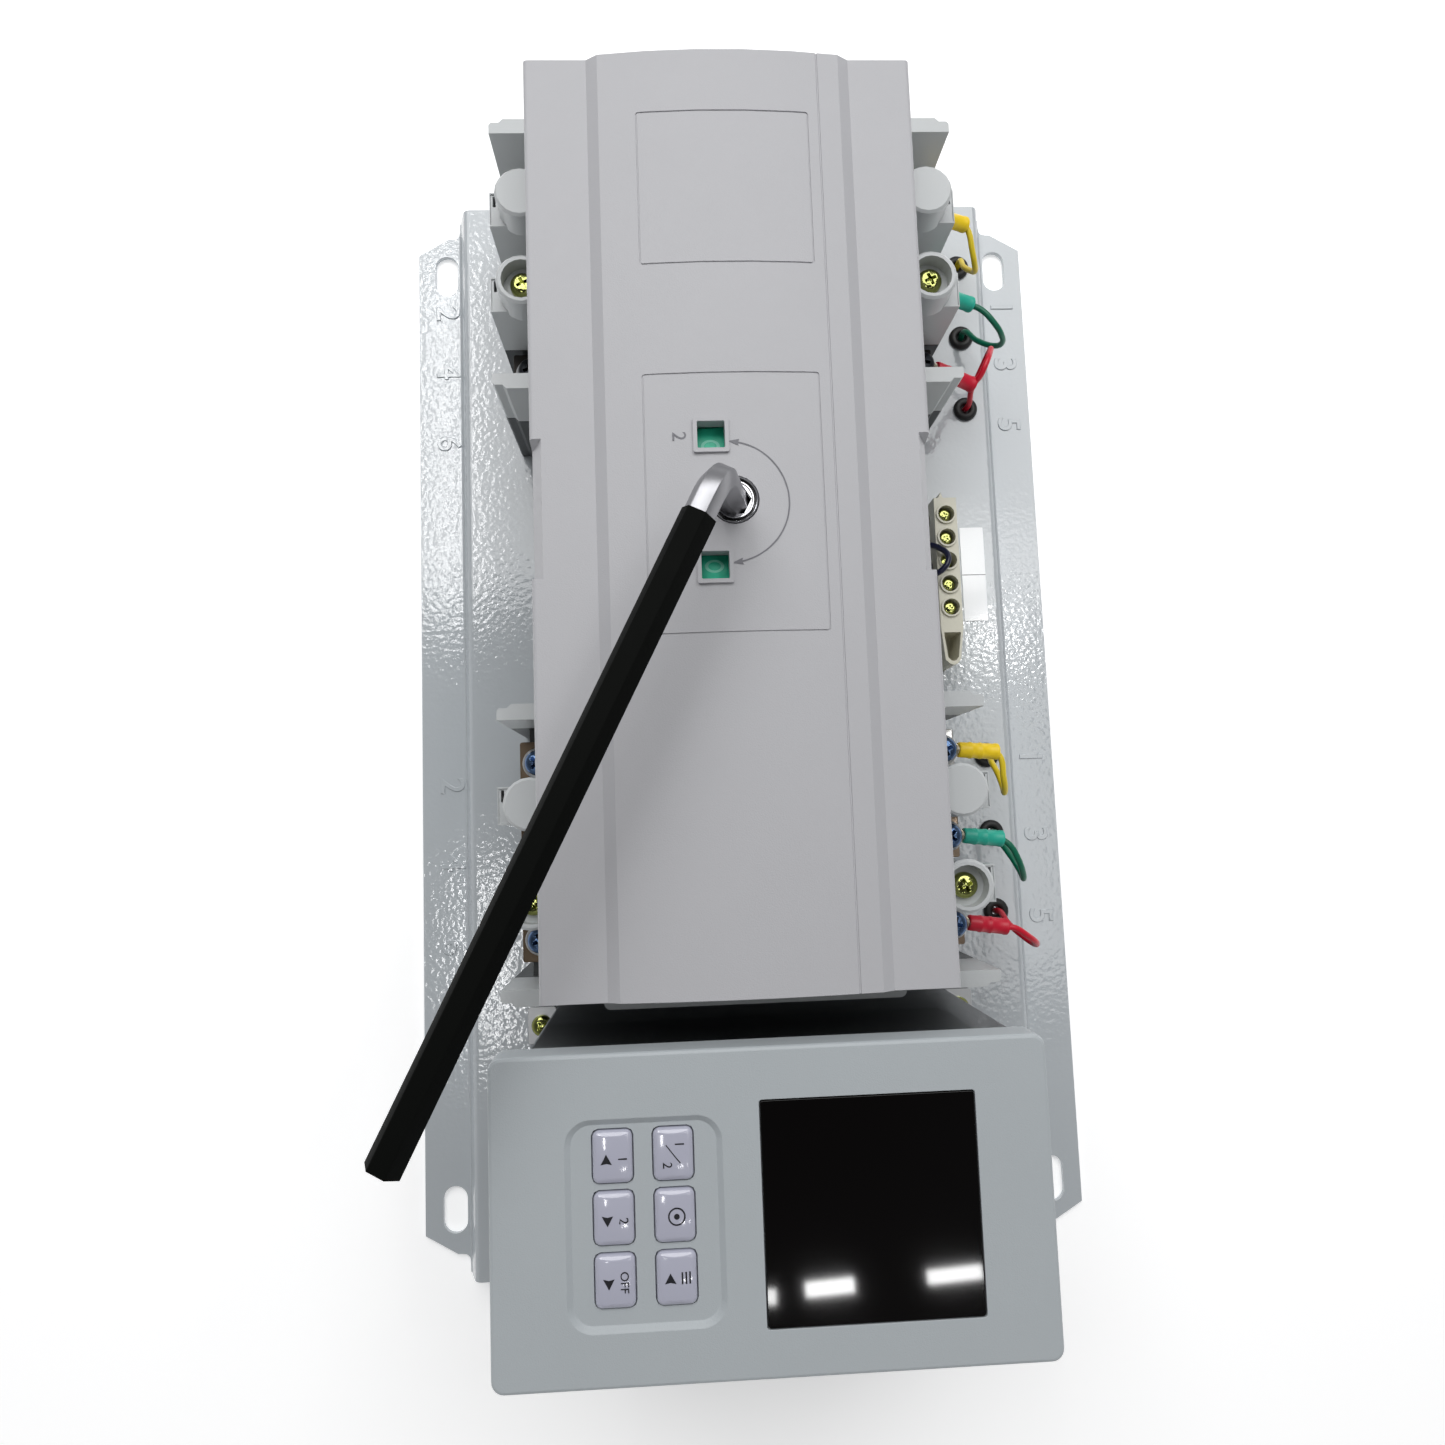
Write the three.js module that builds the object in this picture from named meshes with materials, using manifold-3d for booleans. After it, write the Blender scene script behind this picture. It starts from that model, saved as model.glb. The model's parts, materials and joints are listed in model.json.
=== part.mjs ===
// Automatic transfer switch: two three-pole moulded-case breakers side by side on a steel
// base plate, a rack-and-pinion drive that throws their toggles in opposite directions, a long
// front cover over both, and a controller with a display and six keys. Millimetres, +Z up:
// X runs along the poles, Y along the plate, and Z = 0 is the back of the mounting flanges.

import * as THREE from "three";
import { mergeVertices } from "three/addons/utils/BufferGeometryUtils.js";
import Module from "manifold-3d";

const wasm = await Module();
wasm.setup();

// ---------------------------------------------------------------- driving dimensions

const GAP = 0.3; // clearance between two pieces that rest on or in each other
const RUNNING = 0.6; // clearance round a piece that moves
const MERGE = 1e-4; // vertices nearer than this are one vertex
const SIMPLE = 0.005; // a vertex this near a straight edge or a flat face is dropped
const PAST = 1; // how far a cutter runs past the face it opens

const plate = {
  width: 250, // over the two mounting flanges
  flangeLength: 400,
  length: 413, // of the raised middle
  footWidth: 216, // of the raised middle at its foot
  topWidth: 209.4, // and at its top
  height: 12,
  sheet: 2,
  bend: 2, // radius of the bends at mid-thickness
  cornerX: 12, // chamfer at the flange corners
  cornerY: 7,
  relief: 3, // radius where a flange ends beside the raised middle
};
const slot = { width: 9, length: 17, x: 113.8, y: 184 };

const polePitch = 30;
const noseHeight = 78; // of a breaker's raised middle above its foot
const breaker = {
  x: -4, // centre of both breakers across the plate
  upperY: 149.5,
  lowerY: -50.5,
  length: 158, // over the terminal ends
  width: 3 * polePitch + 5,
  corner: 2,
  baseHeight: 38,
  shoulder: noseHeight - 12,
  nose: noseHeight,
  noseLength: 92,
  polePitch,
  endWall: 5.2,
  blockWidth: 12, // insulating block between two poles
  pocketDepth: 25,
  ledge: 6, // how far the blocks stand out past the terminal ledge
  padSeat: 34.5,
};
const post = {
  radius: 8.4,
  top: noseHeight - 2,
  inset: 11.5,
  bore: 6.5,
  wellDepth: 6,
  edge: 0.8,
  rib: 13,
};
const wallTip = { length: 3.4, step: 1.3, slope: 1.3, corner: 0.8 }; // of an end wall, thinner
const blockTab = { low: 0.3, width: 3.1, length: 11, depth: 0.6 }; // at a block's outer end
const barrierSlit = { inset: 1, width: 1, low: 1.2, high: 5, depth: 8 }; // for a phase barrier
const fixing = { shank: 2.5, head: 4.2, headHeight: 3, past: 4 }; // screw through a breaker
const terminal = { width: 15, thick: 3, end: 3, inset: 12, shank: 2.8, corner: 1.2 };
const terminalScrew = { washer: 6.3, washerThick: 1.2, head: 5.6, headHeight: 4.4, length: 12 };
const lug = { thick: 0.9, outer: 5.2, inner: 3.4 }; // ring of a sense wire, under the screw

const seatZ = plate.height + GAP; // what stands on the plate starts here
const nosePlane = seatZ + breaker.nose; // the drive and the front cover are set out from here

const toggle = {
  pivot: noseHeight - 26.3, // above the breaker's foot
  hub: 4.5,
  axle: 2.5,
  axleLength: 20,
  width: 12,
  drum: 22.5, // outer radius of the curved shutter
  drumWall: 2.5,
  drumHalfAngle: 36,
  lever: 7,
  tip: 42, // above the pivot
  swing: 20.3, // degrees each way
};

const bracket = {
  x: -5,
  width: 94,
  sheet: 2,
  bend: 2.5,
  endGap: 1, // to the breakers on both sides
  foot: 16,
  top: nosePlane + 2, // upper face of its table
};
const drive = { x: -7, y: 49, module: 1, rackTeeth: 16, gearTeeth: 48, motorTeeth: 12 };
const gearWidth = 4;
const lightening = { count: 6, reach: 14, radius: 4.4 };
const shaft = { journal: 5, collar: 7, bottom: nosePlane - 6.3, head: 5.7, top: nosePlane + 28.9 };
const socket = { across: 8.4, depth: 15 };
const motor = { radius: 16, length: 60, shaft: 2, shaftDepth: 12, flange: 19, flangeThick: 3 };
const carriage = {
  thick: 4,
  rackLength: 40,
  rackBody: 6,
  arm: 20,
  slotted: 76, // length of the guided cross bar
  barWidth: 17,
  guideY: 40, // from the drive axis to the guide pins
  guideX: 20,
  forkReach: 8,
};
const guide = { seat: 4.5, pin: 2.5, above: 2.5 };
const flag = { length: 35, width: 9.4, thick: 1.4, top: nosePlane + 18.3, stem: 6, stemThick: 3 };
const drivePlay = 0.35; // backlash of the rack and the gears at the pitch line

const cover = {
  x: -7,
  width: 118,
  top: 188.3,
  bottom: -91.7,
  bandZ: nosePlane + 25.7, // flat side bands
  stepZ: nosePlane + 27.9, // edge of the crown
  crownZ: nosePlane + 30.3,
  stepOuter: 40,
  stepInner: 36.5,
  wall: 2.6,
  edge: 1.4,
  stiffener: 5, // fillet inside the long edges
  bossRadius: 3.5,
  bossX: 39,
  bossY: 6.5,
};
const window_ = { x: -13.2, upperY: 68.2, lowerY: 29.8, size: 8, frame: 10.4, raised: 0.8 };
const scoop = { low: 28, high: 70, reach: 3.4, drop: 7, slope: 3 };
const line = { width: 0.5, depth: 0.35 };
const partingX = 22.6;
const namePanel = { left: -32.4, right: 19.5, low: 120.7, high: 168.8 };
const drivePanel = { left: -32.7, right: 19.3, low: 10.2, high: 87.3 };
const socketRing = { outer: 6.9, flange: 8.5, flangeThick: 1.6, above: 0.3 };

const hexKey = {
  across: 8,
  armZ: nosePlane + 59.7,
  reach: 195,
  bend: 9,
  bendSteps: 6,
  socketGap: 1.5,
  angle: -118.2,
};
const sleeve = { across: 9.2, wall: 0.45, start: 21, end: 0.3 };

const controller = {
  x: -3.5,
  y: -146,
  width: 151,
  height: 85,
  face: 124,
  depth: 10.7,
  wall: 2.4,
  panel: 3,
  corner: 3.5,
  bevel: 1,
};
const caseBox = { x: -0.4, width: 144, height: 78, sheet: 1.4, lip: 5, corner: 2 };
const ear = { reach: 11.6, width: 14, y: 30.3, hole: 2.6, corner: 2 };
const display = {
  x: 22.4,
  y: -146.7,
  size: 58.6,
  seat: 2.2,
  ledge: 2.4,
  thick: 1.9,
  corner: 0.8,
};
const keypad = { left: -59, right: -17, low: -174.6, high: -120.5, corner: 7, depth: 1.2, slope: 1.6 };
const key = {
  width: 10.6,
  height: 13.6,
  corner: 1.8,
  above: 1.8, // over the floor of the recess
  crown: 0.6,
  travel: 1,
  flange: 1,
  flangeThick: 1.4,
  stem: 2.4,
};
const keyColumns = [-46.3, -30.2];
const keyRows = [-130.3, -146, -161.8];
const keyNames = ["source_1", "source_2", "off", "mode", "set", "query"]; // down each column
const board = {
  width: 128,
  height: 70,
  thick: 1.6,
  top: controller.face - 12.7,
  boss: 3.2,
  bossInset: 5,
  module: 54,
  button: 3, // half the width of a push switch
  buttonHeight: 2,
};

const neutral = {
  x: 79.2,
  width: 8.6,
  top: 77,
  bottom: 27,
  height: 19,
  wells: 5,
  pitch: 9,
  firstY: 70.6,
  wellRadius: 3.1,
  rim: 3.8,
  rimHeight: 1,
  barZ: 7,
  barWidth: 4.6,
  barHeight: 6,
  barEnd: 2.5, // from the block's lower end
  plug: 1.5, // closes the bar's slot
  port: 1.7, // half the width of a wire's way in
  wired: 2, // the well that holds the lead
  tailLength: 15.4,
  earLength: 4,
  earHalf: 2.2,
};

const wire = { radius: 1.1, sides: 8, step: 3.5 };
const wireSleeve = { radius: 3, length: 13 };
const wireEnds = { low: 5, top: 18 }; // a lead's last straight stretch, through its grommet
const neutralExit = [66, 57]; // where the neutral lead goes through the plate
const grommet = { x: 95, flange: 4.8, neck: 3.5, bore: 1.7, above: 2, groove: 0.25 };

// ---------------------------------------------------------------- derived places

const halfBreaker = breaker.length / 2;
const coverRim = nosePlane + GAP;
const rackRadius = (drive.module * drive.rackTeeth) / 2;
const rackTravel = (rackRadius * Math.PI) / 2;
const gearZ = bracket.top + GAP;
const rackZ = gearZ + gearWidth + 2 * GAP + 1;
const motorX = drive.x + (drive.module * (drive.gearTeeth + drive.motorTeeth)) / 2;
const breakerRows = { upper: breaker.upperY, lower: breaker.lowerY };
const poles = [breaker.polePitch, 0, -breaker.polePitch];
const between = [breaker.polePitch / 2, -breaker.polePitch / 2];

// ---------------------------------------------------------------- solids

// A three.js geometry as a solid with its faces pointing out.
function solid(geometry) {
  const bare = geometry.index ? geometry.toNonIndexed() : geometry.clone();
  bare.deleteAttribute("normal");
  bare.deleteAttribute("uv");
  const merged = mergeVertices(bare, MERGE);
  const corners = merged.index.array;
  const triangles = [];
  for (let i = 0; i < corners.length; i += 3) {
    const [a, b, c] = corners.subarray(i, i + 3);
    if (a !== b && b !== c && c !== a) triangles.push([a, b, c]);
  }
  const build = (faces) =>
    new wasm.Manifold(
      new wasm.Mesh({
        numProp: 3,
        vertProperties: merged.attributes.position.array,
        triVerts: Uint32Array.from(faces.flat()),
      }),
    );
  const made = build(triangles);
  return made.volume() > 0 ? made : build(triangles.map(([a, b, c]) => [a, c, b]));
}

// A solid's surface as a three.js geometry with flat shading.
function surface(body) {
  const mesh = body.asOriginal().simplify(SIMPLE).getMesh();
  const geometry = new THREE.BufferGeometry();
  const size = mesh.numProp;
  const positions = new Float32Array(mesh.numVert * 3);
  for (let i = 0; i < mesh.numVert; i += 1) {
    positions.set(mesh.vertProperties.subarray(i * size, i * size + 3), i * 3);
  }
  geometry.setAttribute("position", new THREE.BufferAttribute(positions, 3));
  geometry.setIndex(new THREE.BufferAttribute(mesh.triVerts, 1));
  const flat = geometry.toNonIndexed();
  flat.computeVertexNormals();
  return flat;
}

const join = (...bodies) => bodies.flat().reduce((sum, body) => sum.add(body));
const cut = (body, ...tools) => tools.flat().reduce((rest, tool) => rest.subtract(tool), body);

// A box between two corners.
function box(x0, x1, y0, y1, z0, z1) {
  const geometry = new THREE.BoxGeometry(x1 - x0, y1 - y0, z1 - z0);
  return solid(geometry.translate((x0 + x1) / 2, (y0 + y1) / 2, (z0 + z1) / 2));
}

const axisX = new THREE.Vector3(1, 0, 0);
const axisY = new THREE.Vector3(0, 1, 0);
const axisZ = new THREE.Vector3(0, 0, 1);
const planes = {
  XY: new THREE.Matrix4(),
  YZ: new THREE.Matrix4().makeBasis(axisY, axisZ, axisX),
  XZ: new THREE.Matrix4().makeBasis(axisX, axisZ, axisY.clone().negate()),
};

// An outline in a plane, drawn out along the plane's normal from low to high.
function prism(outline, plane, low, high, curveSegments = 6) {
  const options = { depth: high - low, bevelEnabled: false, curveSegments };
  const geometry = new THREE.ExtrudeGeometry(outline, options).applyMatrix4(planes[plane]);
  const shift = { XY: [0, 0, low], YZ: [low, 0, 0], XZ: [0, high, 0] }[plane];
  return solid(geometry.translate(...shift));
}

// A profile of [radius, height] points turned about a vertical axis at x, y.
function turned(profile, x = 0, y = 0, segments = 24) {
  const points = profile.map(([r, z]) => new THREE.Vector2(r, z));
  const geometry = new THREE.LatheGeometry(points, segments).rotateX(Math.PI / 2);
  return solid(geometry.translate(x, y, 0));
}

// A round bar that stands at x, y.
const bar = (x, y, radius, z0, z1, segments = 24) =>
  turned([[0, z0], [radius, z0], [radius, z1], [0, z1]], x, y, segments);

// A closed outline through plain points.
const polygon = (points) => new THREE.Shape(points.map(([x, y]) => new THREE.Vector2(x, y)));

// A rectangle with rounded corners.
function roundedRect(x0, x1, y0, y1, r) {
  const outline = new THREE.Shape();
  outline.moveTo(x0 + r, y0);
  outline.lineTo(x1 - r, y0);
  outline.absarc(x1 - r, y0 + r, r, -Math.PI / 2, 0);
  outline.lineTo(x1, y1 - r);
  outline.absarc(x1 - r, y1 - r, r, 0, Math.PI / 2);
  outline.lineTo(x0 + r, y1);
  outline.absarc(x0 + r, y1 - r, r, Math.PI / 2, Math.PI);
  outline.lineTo(x0, y0 + r);
  outline.absarc(x0 + r, y0 + r, r, Math.PI, 1.5 * Math.PI);
  return outline;
}

// A rounded rectangle of a width and height about a centre.
const roundedAbout = (x, y, width, height, r) =>
  roundedRect(x - width / 2, x + width / 2, y - height / 2, y + height / 2, r);

// The section of a folded sheet: a line of points at mid-thickness, its inner ones bent.
function foldedSection(points, thickness, radius, steps = 3) {
  const bends = points.map(([x, y]) => new THREE.Vector2(x, y));
  const stations = [];
  const side = (direction) => new THREE.Vector2(-direction.y, direction.x);
  bends.forEach((point, i) => {
    const before = i > 0 ? point.clone().sub(bends[i - 1]).normalize() : null;
    const after = i < bends.length - 1 ? bends[i + 1].clone().sub(point).normalize() : null;
    if (!before || !after) {
      stations.push([point, side(before ?? after)]);
      return;
    }
    const turn = Math.atan2(before.cross(after), before.dot(after));
    const reach = radius * Math.tan(Math.abs(turn) / 2);
    const start = point.clone().addScaledVector(before, -reach);
    const centre = start.clone().addScaledVector(side(before), Math.sign(turn) * radius);
    for (let k = 0; k <= steps; k += 1) {
      const normal = side(before).rotateAround(new THREE.Vector2(), (turn * k) / steps);
      stations.push([centre.clone().addScaledVector(normal, -Math.sign(turn) * radius), normal]);
    }
  });
  const offset = (amount) => stations.map(([p, n]) => p.clone().addScaledVector(n, amount));
  return new THREE.Shape([...offset(thickness / 2), ...offset(-thickness / 2).reverse()]);
}

// A hexagon of a width across flats, its first corner at an angle.
function hexagon(across, turn = 0) {
  const corner = across / Math.sqrt(3);
  return polygon(
    Array.from({ length: 6 }, (_, i) => {
      const angle = turn + (i * Math.PI) / 3;
      return [corner * Math.cos(angle), corner * Math.sin(angle)];
    }),
  );
}

// A spur gear's outline: involute flanks, a tooth's middle at the given angle.
function gearOutline(teeth, module, firstTooth = 0, flankPoints = 3) {
  const pitch = (module * teeth) / 2;
  const base = pitch * Math.cos(THREE.MathUtils.degToRad(20));
  const tip = pitch + 0.9 * module;
  const root = pitch - 1.2 * module;
  const involute = (r) => (r <= base ? 0 : Math.sqrt((r / base) ** 2 - 1) - Math.acos(base / r));
  const halfTooth = (Math.PI * module - drivePlay) / 4 / pitch + involute(pitch);
  const stepOut = (tip - root) / (flankPoints - 1);
  const radii = Array.from({ length: flankPoints }, (_, i) => root + stepOut * i);
  const points = [];
  for (let i = 0; i < teeth; i += 1) {
    const middle = firstTooth + (2 * Math.PI * i) / teeth;
    const flank = radii.map((r) => [r, halfTooth - involute(r)]);
    flank.forEach(([r, a]) => points.push([r, middle - a]));
    flank.reverse().forEach(([r, a]) => points.push([r, middle + a]));
  }
  return polygon(points.map(([r, a]) => [r * Math.cos(a), r * Math.sin(a)]));
}

// Tubes that follow a curve, with a round section of a few sides.
function tube(points, radius, sides = wire.sides, spacing = wire.step) {
  const knots = points.map((p) => new THREE.Vector3(...p));
  const curve = new THREE.CatmullRomCurve3(knots, false, "centripetal");
  const ring = Array.from({ length: sides }, (_, i) => {
    const angle = (2 * Math.PI * i) / sides;
    return [radius * Math.cos(angle), radius * Math.sin(angle)];
  });
  const steps = Math.ceil(curve.getLength() / spacing);
  return solid(new THREE.ExtrudeGeometry(polygon(ring), { steps, extrudePath: curve }));
}

// ---------------------------------------------------------------- finishes

const finish = (color, roughness, metalness) =>
  new THREE.MeshStandardMaterial({ color, roughness, metalness });
const finishes = {
  powderCoat: finish(0xd3dadd, 0.3, 0),
  darkMoulding: finish(0x4a5052, 0.5, 0),
  lightMoulding: finish(0xb4b9ba, 0.45, 0),
  coverPlastic: finish(0xc2c2c5, 0.6, 0),
  bezelPlastic: finish(0xa9b1b3, 0.6, 0),
  keyCap: finish(0xcfcfe0, 0.25, 0),
  blackGlass: finish(0x0b0909, 0.08, 0),
  blackPlastic: finish(0x1c1c1d, 0.5, 0),
  greenPlastic: finish(0x17805a, 0.4, 0),
  circuit: finish(0x1f5a3a, 0.5, 0),
  copper: finish(0xb08a6a, 0.35, 1),
  yellowZinc: finish(0xc9b65a, 0.3, 1),
  steel: finish(0x9a9da0, 0.35, 1),
  darkSteel: finish(0x2b2f31, 0.35, 1),
  chrome: finish(0xd9dadc, 0.12, 1),
  rubber: finish(0x151515, 0.8, 0),
  ivory: finish(0xe6e2cc, 0.5, 0),
  yellowWire: finish(0xd9c51c, 0.45, 0),
  greenWire: finish(0x13785a, 0.45, 0),
  redWire: finish(0xc01f2e, 0.45, 0),
  blueWire: finish(0x1b2c66, 0.4, 0),
};

const product = new THREE.Group();

// Adds a named piece to a group, the product itself unless another is given.
function add(name, body, material, group = product) {
  const geometry = body.isBufferGeometry ? body : surface(body);
  const mesh = new THREE.Mesh(geometry, material);
  mesh.name = name;
  group.add(mesh);
  return mesh;
}

// A group at a place, turned about Z.
function placed(x, y, z, turn = 0, parent = product) {
  const group = new THREE.Group();
  group.position.set(x, y, z);
  group.rotation.z = turn;
  parent.add(group);
  return group;
}

// ---------------------------------------------------------------- base plate

function basePlate() {
  const { width, length, sheet, height, relief } = plate;
  const lean = (plate.footWidth - plate.topWidth) / 2 / (height - sheet);
  const inset = (sheet / 2) * Math.hypot(1, lean);
  const webX = (z) => plate.footWidth / 2 - lean * (z - sheet) - inset;
  const low = sheet / 2;
  const high = height - sheet / 2;
  const right = [[webX(high), high], [webX(low), low], [width / 2, low]];
  const left = right.map(([x, z]) => [-x, z]).reverse();
  const section = foldedSection([...left, ...right], sheet, plate.bend);
  const hat = prism(section, "XZ", -length / 2, length / 2);

  // What is cut away past one end of a flange: its chamfer and the relief beside the fold.
  const end = plate.flangeLength / 2;
  const foldX = plate.footWidth / 2 + 0.3;
  const corner = (sx, sy) => {
    const outline = new THREE.Shape();
    const at = (x, y) => [sx * x, sy * y];
    outline.moveTo(...at(foldX, length / 2 + PAST));
    outline.lineTo(...at(foldX, end + relief));
    outline.quadraticCurveTo(...at(foldX, end), ...at(foldX + relief, end));
    outline.lineTo(...at(width / 2 - plate.cornerX, end));
    outline.lineTo(...at(width / 2, end - plate.cornerY));
    outline.lineTo(...at(width / 2 + PAST, end - plate.cornerY));
    outline.lineTo(...at(width / 2 + PAST, length / 2 + PAST));
    return prism(outline, "XY", -PAST, height, 3);
  };
  const cutters = [];
  for (const sx of [-1, 1]) {
    for (const sy of [-1, 1]) {
      cutters.push(corner(sx, sy));
      const hole = roundedAbout(sx * slot.x, sy * slot.y, slot.width, slot.length, slot.width / 2);
      cutters.push(prism(hole, "XY", -PAST, sheet + PAST, 3));
    }
  }
  const through = (x, y, r) => bar(x, y, r, height - sheet - PAST, height + PAST, 10);
  cutters.push(through(...neutralExit, grommet.neck + GAP));
  for (const y of Object.values(breakerRows)) {
    poles.forEach((pole) => cutters.push(through(grommet.x, y + pole, grommet.neck + GAP)));
    for (const side of [-1, 1]) {
      const x = breaker.x + side * (halfBreaker - post.inset);
      cutters.push(through(x, y - breaker.polePitch / 2, fixing.shank + GAP));
    }
  }
  return cut(hat, cutters);
}

// ---------------------------------------------------------------- breakers

// From where to where each pole is open between the end walls and the insulating blocks.
function poleOpenings() {
  const outer = breaker.width / 2 - breaker.endWall;
  const low = (breaker.polePitch - breaker.blockWidth) / 2;
  const high = (breaker.polePitch + breaker.blockWidth) / 2;
  return [
    [-outer, -high],
    [-low, low],
    [high, outer],
  ];
}

// Cutters over every terminal pocket from one height to another, to a depth from the ends.
function pocketCutters(depth, z0, z1) {
  return poleOpenings().flatMap(([y0, y1]) =>
    [-1, 1].map((side) => {
      const x0 = side * (halfBreaker - depth);
      const x1 = side * (halfBreaker + PAST);
      return box(Math.min(x0, x1), Math.max(x0, x1), y0, y1, z0, z1);
    }),
  );
}

const fixingPlaces = [-1, 1].map((side) => [
  side * (halfBreaker - post.inset),
  -breaker.polePitch / 2,
]);

// A breaker's outline, with the end walls stepped in at their tips.
function breakerPlan() {
  const end = breaker.length / 2;
  const side = breaker.width / 2;
  const { length, step, slope, corner } = wallTip;
  const tip = side - step;
  const quarter = [
    [end, tip - corner],
    [end - corner, tip],
    [end - length, tip],
    [end - length - slope, side],
  ];
  const back = quarter.map(([x, y]) => [-x, y]).reverse();
  const upper = [...quarter, ...back];
  return polygon([...upper, ...upper.map(([x, y]) => [-x, -y])]);
}

function breakerBase() {
  const { baseHeight, padSeat } = breaker;
  const over = baseHeight + PAST;
  const block = prism(breakerPlan(), "XY", 0, baseHeight);
  const notches = pocketCutters(breaker.ledge, -PAST, over);
  const pockets = pocketCutters(breaker.pocketDepth, padSeat, over);
  const holes = fixingPlaces.map(([x, y]) => bar(x, y, fixing.shank + GAP, -PAST, over, 8));
  const screwX = halfBreaker - terminal.inset;
  const screwEnd = padSeat - terminalScrew.length;
  const screwHoles = poles.flatMap((y) =>
    [-screwX, screwX].map((x) => bar(x, y, terminal.shank + RUNNING, screwEnd, padSeat + PAST, 8)),
  );
  return cut(block, notches, pockets, holes, screwHoles);
}

function breakerCover() {
  const foot = breaker.baseHeight + GAP;
  const deck = prism(breakerPlan(), "XY", foot, breaker.shoulder);
  const nose = prism(
    roundedAbout(0, 0, breaker.noseLength, breaker.width, breaker.corner),
    "XY",
    breaker.shoulder - PAST,
    breaker.nose,
    2,
  );
  const open = cut(deck, pocketCutters(breaker.pocketDepth, foot - PAST, breaker.shoulder + PAST));

  // Round posts between the poles, each with a rib back to the raised middle.
  const posts = between.flatMap((y) =>
    [-1, 1].flatMap((side) => {
      const x = side * (halfBreaker - post.inset);
      const { radius, top, edge } = post;
      const low = breaker.shoulder - 2;
      const profile = [[0, low], [radius, low], [radius, top - edge], [radius - edge, top], [0, top]];
      const inner = side * (breaker.noseLength / 2 - 1);
      const half = post.rib / 2;
      const rib = box(Math.min(inner, x), Math.max(inner, x), y - half, y + half, low, top - 1);
      return [turned(profile, x, y, 20), rib];
    }),
  );
  const wells = fixingPlaces.flatMap(([x, y]) => [
    bar(x, y, post.bore, post.top - post.wellDepth, post.top + PAST, 20),
    bar(x, y, fixing.shank + GAP, foot - PAST, post.top, 8),
  ]);

  // At every block's outer end a shallow tab and a slit for a phase barrier.
  const over = breaker.shoulder + PAST;
  const slits = between.flatMap((y) =>
    [-1, 1].flatMap((side) => {
      const from = (inset) => side * (halfBreaker - inset);
      const across = (x0, x1, y0, y1, depth) =>
        box(Math.min(x0, x1), Math.max(x0, x1), y + y0, y + y1, breaker.shoulder - depth, over);
      const { low, width, length, depth } = blockTab;
      const tab = across(from(low), from(low + width), -length / 2, length / 2, depth);
      const { inset } = barrierSlit;
      const outer = from(inset);
      const inner = from(inset + barrierSlit.width);
      return [tab, across(outer, inner, barrierSlit.low, barrierSlit.high, barrierSlit.depth)];
    }),
  );

  // The toggle's chamber, its saddle for the axle, and the slot that the lever stands in.
  const half = toggle.width / 2 + RUNNING;
  const swing = THREE.MathUtils.degToRad(toggle.swing);
  const widest = THREE.MathUtils.degToRad(toggle.drumHalfAngle) + swing;
  const chamberX = toggle.drum * Math.sin(widest) + 1;
  const chamberTop = toggle.pivot + toggle.drum + RUNNING;
  const leverX = (breaker.nose - toggle.pivot) * Math.tan(swing);
  const slotX = leverX + toggle.lever / 2 / Math.cos(swing) + RUNNING;
  const axleHole = toggle.axle + GAP;
  const axleHalf = toggle.axleLength / 2 + GAP;
  const saddle = box(-axleHole, axleHole, -axleHalf, axleHalf, foot - PAST, toggle.pivot + axleHole);
  const chamber = box(-chamberX, chamberX, -half, half, foot - PAST, chamberTop);
  const mouth = box(-slotX, slotX, -half, half, chamberTop - PAST, breaker.nose + PAST);
  return cut(join(open, nose, posts), wells, slits, saddle, chamber, mouth);
}

// A toggle: hub and axle, a web to the curved shutter, and the lever above it.
function toggleLever() {
  const arc = (radius, from, to, steps) =>
    Array.from({ length: steps + 1 }, (_, i) => {
      const angle = THREE.MathUtils.degToRad(90 + from + ((to - from) * i) / steps);
      return [radius * Math.cos(angle), radius * Math.sin(angle)];
    });
  const reach = toggle.drumHalfAngle;
  const inside = toggle.drum - toggle.drumWall;
  const shutter = polygon([...arc(toggle.drum, -reach, reach, 8), ...arc(inside, reach, -reach, 8)]);
  const half = toggle.width / 2;
  const lever = new THREE.Shape();
  const narrow = toggle.lever / 2;
  lever.moveTo(-narrow, 0);
  lever.lineTo(narrow, 0);
  lever.lineTo(narrow, toggle.tip - 1);
  lever.quadraticCurveTo(narrow, toggle.tip, narrow - 1, toggle.tip);
  lever.lineTo(1 - narrow, toggle.tip);
  lever.quadraticCurveTo(-narrow, toggle.tip, -narrow, toggle.tip - 1);
  const round = (radius, y0, y1) => prism(polygon(arc(radius, 0, 360, 8).slice(1)), "XZ", y0, y1);
  return join(
    prism(shutter, "XZ", -half, half),
    prism(lever, "XZ", -half + 1, half - 1),
    round(toggle.hub, -half, half),
    round(toggle.axle, -toggle.axleLength / 2, toggle.axleLength / 2),
  );
}

// A terminal: copper pad, washer and screw. The lug's room is left under the washer.
function terminalPiece(lugRoom) {
  const inner = halfBreaker - breaker.pocketDepth + 1;
  const half = terminal.width / 2;
  const plan = roundedRect(inner, halfBreaker - terminal.end, -half, half, terminal.corner);
  const pad = prism(plan, "XY", 0, terminal.thick, 1);
  const washer = terminal.thick + lugRoom;
  const head = washer + terminalScrew.washerThick;
  const top = head + terminalScrew.headHeight;
  const screw = turned(
    [
      [0, terminal.thick - terminalScrew.length],
      [terminal.shank, terminal.thick - terminalScrew.length],
      [terminal.shank, washer],
      [terminalScrew.washer, washer],
      [terminalScrew.washer, head],
      [terminalScrew.head, head],
      [terminalScrew.head - 0.6, top],
      [0, top],
    ],
    halfBreaker - terminal.inset,
    0,
    8,
  );
  return join(pad, screw);
}

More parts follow.
